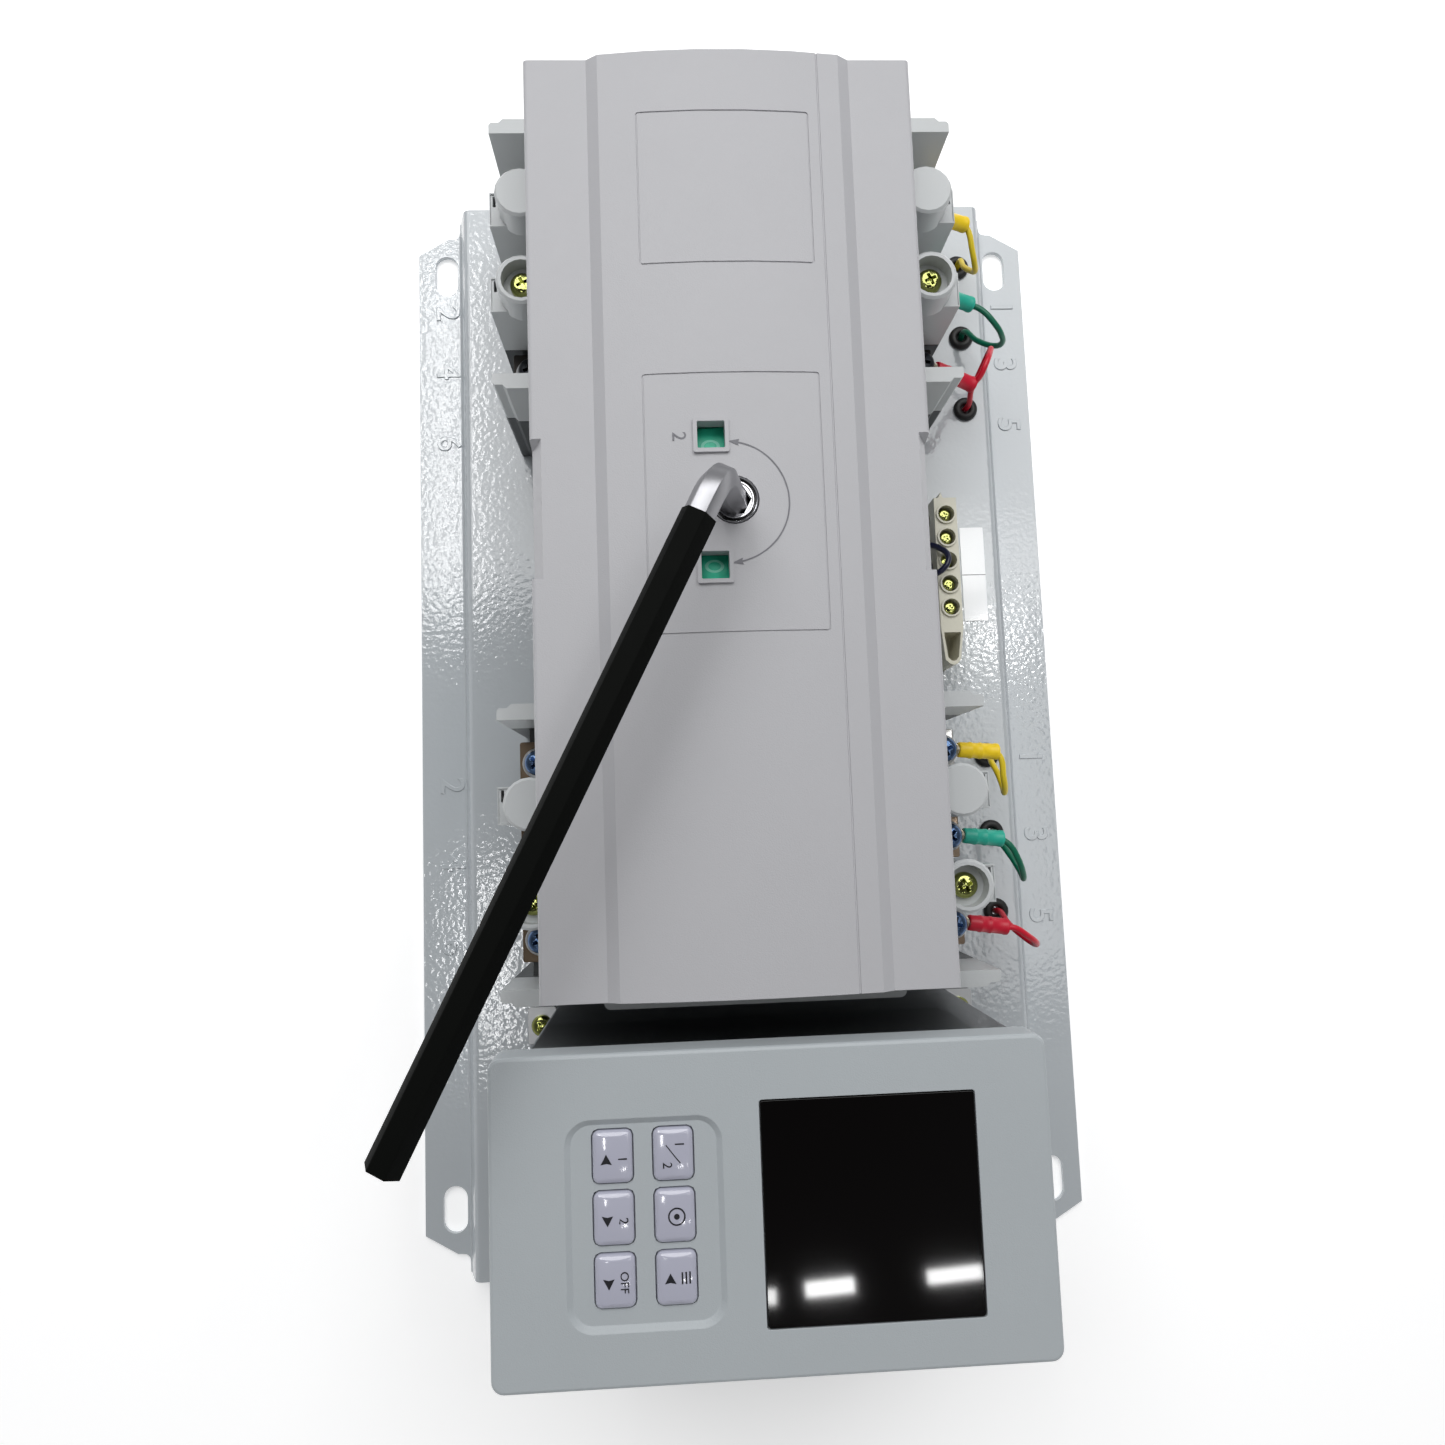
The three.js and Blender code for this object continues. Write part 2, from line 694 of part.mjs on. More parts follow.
// The long screw that holds a breaker down through its well.
function fixingScrew() {
  const floor = post.top - post.wellDepth + GAP;
  const tip = -plate.sheet - fixing.past;
  const { shank, head, headHeight } = fixing;
  const top = floor + headHeight;
  const under = [[0, tip], [shank, tip], [shank, floor], [head, floor]];
  return turned([...under, [head, top - 1], [head - 1.4, top], [0, top]], 0, 0, 8);
}

function addBreakers() {
  const base = surface(breakerBase());
  const lid = surface(breakerCover());
  const lever = surface(toggleLever());
  const screw = surface(fixingScrew());
  const plain = surface(terminalPiece(0));
  const withLug = surface(terminalPiece(lug.thick + GAP));
  for (const [row, y] of Object.entries(breakerRows)) {
    const group = placed(breaker.x, y, seatZ);
    add(row + "_breaker_base", base, finishes.darkMoulding, group);
    add(row + "_breaker_cover", lid, finishes.lightMoulding, group);
    add(row + "_toggle", lever, finishes.blackPlastic, placed(0, 0, toggle.pivot, 0, group));
    fixingPlaces.forEach(([x, sy], i) => {
      const name = row + "_fixing_screw_" + ["left", "right"][i];
      add(name, screw, finishes.yellowZinc, placed(x, sy, 0, 0, group));
    });
    poles.forEach((pole, i) => {
      const at = (turn) => placed(0, pole, breaker.padSeat + GAP, turn, group);
      add(row + "_line_terminal_" + (i + 1), withLug, finishes.copper, at(0));
      add(row + "_load_terminal_" + (i + 1), plain, finishes.copper, at(Math.PI));
    });
  }
}

// ---------------------------------------------------------------- drive

const guidePlaces = [-1, 1].flatMap((sy) =>
  [-1, 1].map((sx) => [drive.x + sx * carriage.guideX, drive.y + sy * carriage.guideY]),
);

// A folded steel bridge between the breakers, whose table carries the drive.
function mechanismBracket() {
  const y0 = breaker.lowerY + breaker.width / 2 + bracket.endGap + bracket.sheet / 2;
  const y1 = breaker.upperY - breaker.width / 2 - bracket.endGap - bracket.sheet / 2;
  const low = seatZ + bracket.sheet / 2;
  const high = bracket.top - bracket.sheet / 2;
  const section = foldedSection(
    [[y0 + bracket.foot, low], [y0, low], [y0, high], [y1, high], [y1, low], [y1 - bracket.foot, low]],
    bracket.sheet,
    bracket.bend,
  );
  const x0 = bracket.x - bracket.width / 2;
  const folded = prism(section, "YZ", x0, x0 + bracket.width);
  const under = bracket.top - bracket.sheet;
  const pins = guidePlaces.map(([x, y]) =>
    turned(
      [
        [0, under + 0.5],
        [guide.seat, under + 0.5],
        [guide.seat, rackZ - GAP],
        [guide.pin, rackZ - GAP],
        [guide.pin, rackZ + carriage.thick + guide.above],
        [0, rackZ + carriage.thick + guide.above],
      ],
      x,
      y,
      8,
    ),
  );
  const bearings = [
    bar(drive.x, drive.y, shaft.journal + 0.1, under - PAST, bracket.top + PAST),
    bar(motorX, drive.y, motor.shaft + RUNNING, under - PAST, bracket.top + PAST, 16),
  ];
  return cut(join(folded, pins), bearings);
}

// The drive shaft: collar, journal, rack pinion and the head with the hex socket.
function driveShaft() {
  const underTable = bracket.top - bracket.sheet - GAP;
  const { journal, collar, bottom, head, top } = shaft;
  const pinionTop = rackZ + carriage.thick + 0.6;
  const spindle = turned([
    [0, bottom],
    [collar - 1, bottom],
    [collar, bottom + 1],
    [collar, underTable],
    [journal, underTable],
    [journal, pinionTop - 1],
    [head, pinionTop - 1],
    [head, top - 0.4],
    [head - 0.4, top],
    [0, top],
  ], 0, 0, 18);
  const teeth = prism(gearOutline(drive.rackTeeth, drive.module, Math.PI / 2), "XY", rackZ - 0.6, pinionTop);
  const opening = hexagon(socket.across, THREE.MathUtils.degToRad(hexKey.angle));
  const hex = prism(opening, "XY", top - socket.depth, top + PAST);
  return cut(join(spindle, teeth), hex);
}

// The large gear on the drive shaft, with lightening holes.
function driveGear() {
  const { gearTeeth, module } = drive;
  const { count, reach, radius } = lightening;
  const holes = Array.from({ length: count }, (_, i) => {
    const angle = ((i + 0.5) * 2 * Math.PI) / count;
    const [x, y] = [reach * Math.cos(angle), reach * Math.sin(angle)];
    return bar(x, y, radius, -PAST, gearWidth + PAST, 8);
  });
  const blank = prism(gearOutline(gearTeeth, module, 0, 2), "XY", 0, gearWidth);
  return cut(blank, bar(0, 0, shaft.journal + 0.1, -PAST, gearWidth + PAST, 18), holes);
}

// A carriage: rack, arm, guided cross bar, fork round the toggle, and the flag on a stem.
// Local +Y points from the drive axis to the toggle, and sx turns the lower one round.
function carriagePiece(toggleReach, windowOffset, toggleOffsetX) {
  const { thick, rackLength, rackBody, arm, slotted, barWidth, guideY, guideX } = carriage;
  const pitch = Math.PI * drive.module;
  const toothTop = rackRadius - 0.9 * drive.module;
  const toothRoot = rackRadius + 1.1 * drive.module;
  const slant = Math.tan(THREE.MathUtils.degToRad(20));
  const half = (y) => (pitch - drivePlay) / 4 + slant * (y - rackRadius);
  const teeth = [];
  const count = Math.floor((rackLength - 1) / pitch / 2) * 2;
  for (let i = -count / 2; i < count / 2; i += 1) {
    const middle = (i + 0.5) * pitch;
    teeth.push([middle - half(toothRoot), toothRoot]);
    teeth.push([middle - half(toothTop), toothTop]);
    teeth.push([middle + half(toothTop), toothTop]);
    teeth.push([middle + half(toothRoot), toothRoot]);
  }
  const back = toothRoot + rackBody;
  const end = rackLength / 2;
  const rack = polygon([[-end, toothRoot], ...teeth, [end, toothRoot], [end, back], [-end, back]]);

  const leverHalf = toggle.lever / 2 / Math.cos(THREE.MathUtils.degToRad(toggle.swing));
  const forkSlot = leverHalf + 0.9 + RUNNING / 2;
  const x0 = toggleOffsetX - arm / 2;
  const x1 = toggleOffsetX + arm / 2;
  const forkRoot = toggleReach - toggle.width / 2 - 2;
  const tip = toggleReach + carriage.forkReach;
  const armPlan = polygon([
    [x0, back - 1],
    [x1, back - 1],
    [x1, tip],
    [toggleOffsetX + forkSlot, tip],
    [toggleOffsetX + forkSlot, forkRoot],
    [toggleOffsetX - forkSlot, forkRoot],
    [toggleOffsetX - forkSlot, tip],
    [x0, tip],
  ]);
  const guideSlots = [-1, 1].map((side) => {
    const length = 2 * (rackTravel + guide.pin + RUNNING);
    const height = 2 * guide.pin + RUNNING;
    const slotPlan = roundedAbout(side * guideX, guideY, length, height, height / 2 - 0.01);
    return prism(slotPlan, "XY", -PAST, thick + PAST, 3);
  });
  const blank = join(
    prism(rack, "XY", 0, thick),
    prism(armPlan, "XY", 0, thick),
    prism(roundedAbout(0, guideY, slotted, barWidth, 2), "XY", 0, thick, 2),
  );
  const plan = cut(blank, guideSlots);
  const [flagX, flagY] = windowOffset;
  const flagZ = flag.top - rackZ;
  const [halfLength, halfWidth, halfStem] = [flag.length / 2, flag.width / 2, flag.stem / 2];
  const stemX = (toggleOffsetX + flagX) / 2;
  const stemY = flagY + halfWidth;
  const stem = box(stemX - halfStem, stemX + halfStem, stemY - flag.stemThick, stemY, 0, flagZ);
  const [west, east, south] = [flagX - halfLength, flagX + halfLength, flagY - halfWidth];
  const blade = box(west, east, south, stemY, flagZ - flag.thick, flagZ);
  return join(plan, stem, blade);
}

// A geared motor under the table, open at the top for its shaft.
function motorPiece() {
  const flangeTop = bracket.top - bracket.sheet - GAP;
  const { radius, length, flange, flangeThick } = motor;
  const bottom = flangeTop - length;
  const hole = motor.shaft + GAP;
  const floor = flangeTop - motor.shaftDepth - GAP;
  return turned(
    [
      [0, bottom],
      [radius - 2, bottom],
      [radius, bottom + 2],
      [radius, flangeTop - flangeThick],
      [flange, flangeTop - flangeThick],
      [flange, flangeTop],
      [hole, flangeTop],
      [hole, floor],
      [0, floor],
    ],
    0,
    0,
    16,
  );
}

// The motor's pinion on its shaft.
function motorPinion() {
  const outline = gearOutline(drive.motorTeeth, drive.module, Math.PI / drive.motorTeeth);
  const teeth = prism(outline, "XY", gearZ, gearZ + gearWidth);
  const low = bracket.top - bracket.sheet - GAP - motor.shaftDepth;
  return join(teeth, bar(0, 0, motor.shaft, low, gearZ + gearWidth + 0.6, 12));
}

function addDrive() {
  add("mechanism_bracket", mechanismBracket(), finishes.darkSteel);
  const axis = placed(drive.x, drive.y, 0);
  add("drive_shaft", driveShaft(), finishes.steel, axis);
  add("drive_gear", driveGear(), finishes.steel, placed(0, 0, gearZ, 0, axis));
  const motorAxis = placed(motorX, drive.y, 0);
  add("drive_motor", motorPiece(), finishes.darkSteel, motorAxis);
  add("motor_pinion", motorPinion(), finishes.steel, motorAxis);

  const toggleX = breaker.x - drive.x;
  const flagX = window_.x - drive.x;
  const upperFlag = [flagX, window_.upperY - drive.y];
  const lowerFlag = [-flagX, drive.y - window_.lowerY];
  const upper = carriagePiece(breaker.upperY - drive.y, upperFlag, toggleX);
  add("upper_carriage", upper, finishes.greenPlastic, placed(drive.x, drive.y, rackZ));
  const lower = carriagePiece(drive.y - breaker.lowerY, lowerFlag, -toggleX);
  add("lower_carriage", lower, finishes.greenPlastic, placed(drive.x, drive.y, rackZ, Math.PI));
}

// ---------------------------------------------------------------- front cover

// The cover's outline across its width, moved in by a wall.
function coverProfile(inset, chamfer, lift = 0) {
  const half = cover.width / 2 - inset;
  const z = (level) => level - inset + lift;
  const outline = new THREE.Shape();
  const stepIn = cover.stepInner;
  const stepOut = cover.stepOuter;
  outline.moveTo(-half, coverRim - (inset ? PAST : 0));
  outline.lineTo(-half, z(cover.bandZ) - chamfer);
  if (inset) outline.lineTo(-half + chamfer, z(cover.bandZ));
  else outline.quadraticCurveTo(-half, z(cover.bandZ), -half + chamfer, z(cover.bandZ));
  outline.lineTo(-stepOut, z(cover.bandZ));
  outline.lineTo(-stepIn, z(cover.stepZ));
  outline.quadraticCurveTo(0, 2 * z(cover.crownZ) - z(cover.stepZ), stepIn, z(cover.stepZ));
  outline.lineTo(stepOut, z(cover.bandZ));
  outline.lineTo(half - chamfer, z(cover.bandZ));
  if (inset) outline.lineTo(half, z(cover.bandZ) - chamfer);
  else outline.quadraticCurveTo(half, z(cover.bandZ), half, z(cover.bandZ) - chamfer);
  outline.lineTo(half, coverRim - (inset ? PAST : 0));
  return outline;
}

// A thin line engraved round a rectangle.
function frameLine({ left, right, low, high }) {
  const outer = roundedRect(left, right, low, high, 0.8);
  const w = line.width;
  const inner = roundedRect(left + w, right - w, low + w, high - w, 0.4);
  outer.holes.push(new THREE.Path(inner.getPoints(1)));
  return prism(outer, "XY", cover.bandZ, cover.crownZ + PAST, 1);
}

function frontCover() {
  const { top, bottom, wall } = cover;
  const atX = (body) => body.translate([cover.x, 0, 0]);
  const outer = atX(prism(coverProfile(0, cover.edge), "XZ", bottom, top, 5));
  const inner = atX(prism(coverProfile(wall, cover.stiffener), "XZ", bottom + wall, top - wall, 5));
  const [south, north, over] = [bottom - PAST, top + PAST, cover.crownZ + PAST];
  const lowered = atX(prism(coverProfile(0, cover.edge, -line.depth), "XZ", south, north, 5));
  const parting = box(partingX, partingX + line.width, south, north, cover.bandZ, over);
  const engraving = join(frameLine(namePanel), frameLine(drivePanel), parting).subtract(lowered);

  // Finger scoops in both long edges, with sloping ends.
  const scoops = [-1, 1].map((side) => {
    const edgeX = side * (cover.width / 2) + cover.x;
    const section = polygon([
      [edgeX - side * scoop.reach, cover.bandZ],
      [edgeX + side * PAST, cover.bandZ - scoop.drop * (1 + PAST / scoop.reach)],
      [edgeX + side * PAST, cover.bandZ + PAST],
      [edgeX - side * scoop.reach, cover.bandZ + PAST],
    ]);
    const outline = polygon([
      [scoop.low, cover.bandZ + PAST],
      [scoop.low + scoop.slope, cover.bandZ - 2 * scoop.drop],
      [scoop.high - scoop.slope, cover.bandZ - 2 * scoop.drop],
      [scoop.high, cover.bandZ + PAST],
    ]);
    const limits = [edgeX - 2 * scoop.reach, edgeX + 2 * scoop.reach];
    return prism(section, "XZ", scoop.low, scoop.high).intersect(prism(outline, "YZ", ...limits));
  });

  const places = [window_.upperY, window_.lowerY];
  const { x, size, frame, raised } = window_;
  const frames = places.map((y) =>
    prism(roundedAbout(x, y, frame, frame, 0.5), "XY", cover.bandZ + 0.5, cover.crownZ + raised, 1),
  );
  const below = cover.bandZ - wall - GAP;
  const openings = places.map((y) =>
    prism(roundedAbout(x, y, size, size, 0.3), "XY", below, cover.crownZ + 2 * PAST, 1),
  );
  const hole = bar(drive.x, drive.y, socketRing.outer + GAP, below, over, 24);
  const bosses = [-1, 1].flatMap((sx) =>
    [-1, 1].map((sy) => {
      const [bossX, bossY] = [cover.x + sx * cover.bossX, drive.y + sy * cover.bossY];
      return bar(bossX, bossY, cover.bossRadius, bracket.top + GAP, cover.bandZ - 1, 10);
    }),
  );
  return cut(join(cut(outer, inner), frames, bosses), engraving, scoops, openings, hole);
}

// The chrome ring in the cover round the shaft's head, held by its flange from inside.
function ringPiece() {
  const inside = shaft.head + RUNNING / 2;
  const under = cover.crownZ - cover.wall - GAP;
  const { outer, flange, flangeThick, above } = socketRing;
  const top = cover.crownZ + above;
  return turned(
    [
      [inside, under - flangeThick],
      [flange, under - flangeThick],
      [flange, under - 0.3],
      [outer, under - 0.3],
      [outer, top - 0.3],
      [outer - 0.3, top],
      [inside + 0.3, top],
      [inside, top - 0.3],
      [inside, under - flangeThick],
    ],
    0,
    0,
    20,
  );
}

// ---------------------------------------------------------------- hex key

// The key stands in the shaft's socket: short leg, bend and long arm, with a sleeve on the arm.
function addHexKey() {
  const group = placed(drive.x, drive.y, 0, THREE.MathUtils.degToRad(hexKey.angle));
  const { bend, armZ, reach, across } = hexKey;
  const tip = shaft.top - socket.depth + hexKey.socketGap;
  const leg = prism(hexagon(across), "XY", tip, armZ - bend);
  const elbow = hexElbow(across, bend, hexKey.bendSteps).translate([0, 0, armZ - bend]);
  const arm = prism(hexagon(across), "YZ", bend, reach - sleeve.end).translate([0, 0, armZ]);
  add("hex_key", join(leg, elbow, arm), finishes.chrome, group);
  const skin = hexagon(sleeve.across);
  skin.holes.push(new THREE.Path(hexagon(sleeve.across - 2 * sleeve.wall).getPoints()));
  const tubeBody = prism(skin, "YZ", sleeve.start, reach).translate([0, 0, armZ]);
  add("key_sleeve", tubeBody, finishes.blackPlastic, group);
}

// A quarter bend of a hexagonal bar, from straight up to straight along +X.
function hexElbow(across, radius, steps) {
  const corner = across / Math.sqrt(3);
  const positions = [];
  const rings = Array.from({ length: steps + 1 }, (_, i) => {
    const angle = (Math.PI / 2) * (i / steps);
    return Array.from({ length: 6 }, (_unused, k) => {
      const a = (k * Math.PI) / 3;
      const inward = corner * Math.cos(a);
      const y = corner * Math.sin(a);
      const r = radius - inward;
      return [radius - r * Math.cos(angle), y, r * Math.sin(angle)];
    });
  });
  const quad = (a, b, c, d) => positions.push(...a, ...b, ...c, ...a, ...c, ...d);
  for (let i = 0; i < steps; i += 1) {
    for (let k = 0; k < 6; k += 1) {
      quad(rings[i][k], rings[i][(k + 1) % 6], rings[i + 1][(k + 1) % 6], rings[i + 1][k]);
    }
  }
  for (let k = 1; k < 5; k += 1) {
    positions.push(...rings[0][0], ...rings[0][k + 1], ...rings[0][k]);
    positions.push(...rings[steps][0], ...rings[steps][k], ...rings[steps][k + 1]);
  }
  const geometry = new THREE.BufferGeometry();
  geometry.setAttribute("position", new THREE.Float32BufferAttribute(positions, 3));
  return solid(geometry);
}

// ---------------------------------------------------------------- controller

const bezelBack = controller.face - controller.depth;
const panelBack = controller.face - controller.panel;
const keyPlaces = keyColumns.flatMap((x) => keyRows.map((y) => [x, y]));

function controllerCase() {
  const { x, width, height, sheet, lip, corner } = caseBox;
  const { y } = controller;
  const top = bezelBack - GAP;
  const within = (edge, r) => roundedAbout(x, y, width - 2 * edge, height - 2 * edge, r);
  const shell = prism(within(0, corner), "XY", seatZ, top, 2);
  const inside = prism(within(sheet, corner - sheet / 2), "XY", seatZ + sheet, top - sheet, 2);
  const mouth = prism(within(lip, corner), "XY", top - sheet - PAST, top + PAST, 2);
  const ears = [-1, 1].map((side) => {
    const edge = x + side * (width / 2);
    const out = edge + side * ear.reach;
    const middle = y + ear.y;
    const half = ear.width / 2;
    const [west, east] = side > 0 ? [edge - corner, out] : [out, edge + corner];
    const plan = roundedRect(west, east, middle - half, middle + half, ear.corner);
    const hole = new THREE.Path().absarc(edge + side * ear.reach * 0.55, middle, ear.hole, 0, 2 * Math.PI);
    plan.holes.push(hole);
    return prism(plan, "XY", seatZ, seatZ + sheet, 4);
  });
  return cut(join(shell, ears), inside, mouth);
}

function controllerBezel() {
  const { x, y, width, height, face, depth, wall, panel, corner, bevel } = controller;
  const outline = roundedAbout(x, y, width - 2 * bevel, height - 2 * bevel, corner - bevel);
  const rounded = new THREE.ExtrudeGeometry(outline, {
    depth: depth,
    bevelThickness: bevel,
    bevelSize: bevel,
    bevelSegments: 2,
    curveSegments: 3,
  });
  const below = box(x - width, x + width, y - height, y + height, face - 2 * depth, face - depth);
  const block = cut(solid(rounded.translate(0, 0, face - bevel - depth)), below);
  const room = roundedAbout(x, y, width - 2 * wall, height - 2 * wall, corner - bevel);
  const hollow = prism(room, "XY", face - depth - PAST, face - panel, 3);
  const { size, seat, ledge } = display;
  const glass = roundedAbout(display.x, display.y, size, size, display.corner);
  const glassSeat = prism(glass, "XY", face - seat, face + PAST, 2);
  const view = size - 2 * ledge;
  const glassView = prism(roundedAbout(display.x, display.y, view, view, 1), "XY", panelBack - PAST, face, 2);
  const { left, right, low, high } = keypad;
  const { slope } = keypad;
  const floor = roundedRect(left + slope, right - slope, low + slope, high - slope, keypad.corner - slope);
  const sloping = new THREE.ExtrudeGeometry(floor, {
    depth: PAST,
    bevelThickness: keypad.depth,
    bevelSize: slope,
    bevelSegments: 1,
    curveSegments: 6,
  });
  const recess = solid(sloping.translate(0, 0, face));
  const holes = keyPlaces.map(([kx, ky]) => {
    const opening = roundedAbout(kx, ky, key.width + RUNNING, key.height + RUNNING, key.corner);
    return prism(opening, "XY", panelBack - PAST, face, 1);
  });
  const bosses = boardBosses().map(([bx, by]) =>
    bar(bx, by, board.boss, board.top + GAP, panelBack + 0.5, 8),
  );
  return join(cut(block, hollow, glassSeat, glassView, recess, holes), bosses);
}

// The four places where the circuit board hangs from the bezel.
const boardBosses = () =>
  [-1, 1].flatMap((sx) =>
    [-1, 1].map((sy) => [
      controller.x + sx * (board.width / 2 - board.bossInset),
      controller.y + sy * (board.height / 2 - board.bossInset),
    ]),
  );

function displayWindow() {
  const across = display.size - 2 * GAP;
  const low = controller.face - display.seat + GAP;
  const plan = roundedAbout(display.x, display.y, across, across, display.corner);
  return prism(plan, "XY", low, low + display.thick, 2);
}

// The circuit board with the display module and a push switch under every key.
function circuitBoard() {
  const { width, height, thick, top } = board;
  const { x, y, face } = controller;
  const card = box(x - width / 2, x + width / 2, y - height / 2, y + height / 2, top - thick, top);
  const root = top - thick / 2;
  const square = (middleX, middleY, half, high) =>
    box(middleX - half, middleX + half, middleY - half, middleY + half, root, high);
  const module = square(display.x, display.y, board.module / 2, face - controller.panel - 0.4);
  const { button, buttonHeight } = board;
  const buttons = keyPlaces.map(([kx, ky]) => square(kx, ky, button, top + buttonHeight));
  return join(card, module, buttons);
}

// A key: cap with a crowned top, flange behind the panel and a stem to its switch.
function keyCap() {
  const top = controller.face - keypad.depth + key.above;
  const flangeTop = panelBack - GAP;
  const { width, height, corner } = key;
  const edge = key.crown;
  const outline = roundedAbout(0, 0, width, height, corner);
  const cap = prism(outline, "XY", flangeTop - PAST, top - edge, 1);
  const flat = roundedAbout(0, 0, width - 2 * edge, height - 2 * edge, corner - edge);
  const crown = new THREE.ExtrudeGeometry(flat, {
    depth: edge,
    bevelThickness: edge,
    bevelSize: edge,
    bevelSegments: 1,
    curveSegments: 1,
  });
  const lowest = flangeTop - key.flangeThick;
  const [halfX, halfY] = [width / 2 + key.flange, height / 2 + key.flange];
  const stemEnd = board.top + board.buttonHeight + key.travel + GAP;
  return join(
    cap,
    solid(crown.translate(0, 0, top - 2 * edge)),
    box(-halfX, halfX, -halfY, halfY, lowest, flangeTop),
    bar(0, 0, key.stem, stemEnd, lowest + 0.5, 8),
  );
}

function addController() {
  add("controller_case", controllerCase(), finishes.darkSteel);
  add("controller_bezel", controllerBezel(), finishes.bezelPlastic);
  add("display_window", displayWindow(), finishes.blackGlass);
  add("circuit_board", circuitBoard(), finishes.circuit);
  const cap = surface(keyCap());
  keyPlaces.forEach(([x, y], i) => {
    add("key_" + keyNames[i], cap, finishes.keyCap, placed(x, y, 0));
  });
}

// ---------------------------------------------------------------- neutral terminals

const wellY = Array.from({ length: neutral.wells }, (_, i) => neutral.firstY - i * neutral.pitch);

function neutralBlock() {
  const { x, width, top, bottom, height, wellRadius, rim, rimHeight, barWidth } = neutral;
  const half = width / 2;
  const barLow = seatZ + neutral.barZ;
  const barHigh = barLow + neutral.barHeight;
  const roof = seatZ + height + rimHeight;
  const plan = new THREE.Shape();
  plan.moveTo(x - half, top);
  plan.lineTo(x - half, bottom);
  plan.lineTo(x - half + 1.2, bottom - neutral.tailLength + 3);
  plan.quadraticCurveTo(x, bottom - neutral.tailLength - 1, x + half - 1.6, bottom - neutral.tailLength + 3);
  plan.lineTo(x + half, bottom);
  plan.lineTo(x + half, top);
  const body = prism(plan, "XY", seatZ, seatZ + height, 4);
  const { earHalf, earLength, port, plug } = neutral;
  const earPlan = polygon([[x - earHalf, top - 1], [x + earHalf, top - 1], [x, top + earLength]]);
  const earBody = prism(earPlan, "XY", seatZ, seatZ + height * 0.7);
  const rims = wellY.map((y) => bar(x, y, rim, seatZ + height - PAST, roof, 16));
  const wells = wellY.map((y) => bar(x, y, wellRadius, barLow, roof + PAST, 16));
  const slotHalf = barWidth / 2 + GAP;
  const south = bottom + neutral.barEnd - GAP;
  const barSlot = box(x - slotHalf, x + slotHalf, south, top + PAST, barLow - GAP, barHigh + GAP);
  const plugHalf = slotHalf + 0.5;
  const end = box(x - plugHalf, x + plugHalf, top - plug, top, barLow - 1, barHigh + 1);
  const ports = wellY.map((y) =>
    box(x - half - PAST, x, y - port, y + port, barLow + 3 - port - 0.1, barLow + 3 + port + 0.1),
  );
  const tail = new THREE.Shape();
  tail.moveTo(x - half + 1.1, bottom - 2);
  tail.lineTo(x + half - 1.1, bottom - 2);
  tail.lineTo(x + half - 2.4, bottom - neutral.tailLength + 4);
  tail.quadraticCurveTo(x, bottom - neutral.tailLength + 1, x - half + 2.2, bottom - neutral.tailLength + 4);
  const cavity = prism(tail, "XY", seatZ + 3, seatZ + height + PAST, 4);
  const fixingHole = bar(x, bottom - 8, 1.7, seatZ - PAST, seatZ + 4, 12);
  const shell = join(cut(join(body, earBody, rims), barSlot), end);
  return cut(shell, wells, ports, cavity, fixingHole);
}

// The brass bar inside, with a clamp screw standing in every well.
function neutralBar() {
  const { x, barZ, barWidth, barHeight, height, bottom, top, barEnd, plug } = neutral;
  const z0 = seatZ + barZ;
  const half = barWidth / 2;
  const strip = box(x - half, x + half, bottom + barEnd, top - plug - GAP, z0, z0 + barHeight);
  const ports = wellY.map((y) => {
    const reach = neutral.port - 0.2;
    return box(x - half - PAST, x + 0.6, y - reach, y + reach, z0 + 3 - reach, z0 + 3 + reach);
  });
  const screws = wellY.map((y, i) => {
    const low = z0 + barHeight - 1;
    const high = seatZ + height - (i === neutral.wired ? 4.5 : 1.8);
    return turned([[0, low], [2.3, low], [2.3, high - 0.6], [1.7, high], [0, high]], x, y, 8);
  });
  return join(cut(strip, ports), screws);
}

// The neutral lead: out of the bar's port, up in a small loop and down through the plate.
function neutralLead() {
  const y = wellY[neutral.wired];
  const portX = neutral.x - neutral.width / 2;
  const portZ = seatZ + neutral.barZ + neutral.barHeight / 2;
  const [x1, y1] = neutralExit;
  const run = [
    [portX + 2.4, y, portZ],
    [portX - 1.2, y, portZ],
    [portX - 5, y - 2, portZ + 1.9],
    [portX - 6.3, y - 5, portZ + 6.5],
    [portX - 3.7, y - 6.4, portZ + 11.9],
    [portX + 0.7, y - 4.6, portZ + 14.9],
    [portX + 2.9, y - 0.2, portZ + 14.5],
    [portX + 0.7, y + 4.2, portZ + 11.3],
    [x1 + 5, y1 + 2.4, portZ + 6.1],
    [x1 + 1.4, y1 + 1.6, portZ - 0.3],
  ];
  const down = [wireEnds.top - 2, wireEnds.top - 7, wireEnds.low].map((z) => [x1, y1, z]);
  return tube([...run, ...down], wire.radius);
}

// ---------------------------------------------------------------- sense wires

const lugZ = seatZ + breaker.padSeat + GAP + terminal.thick + GAP / 2;

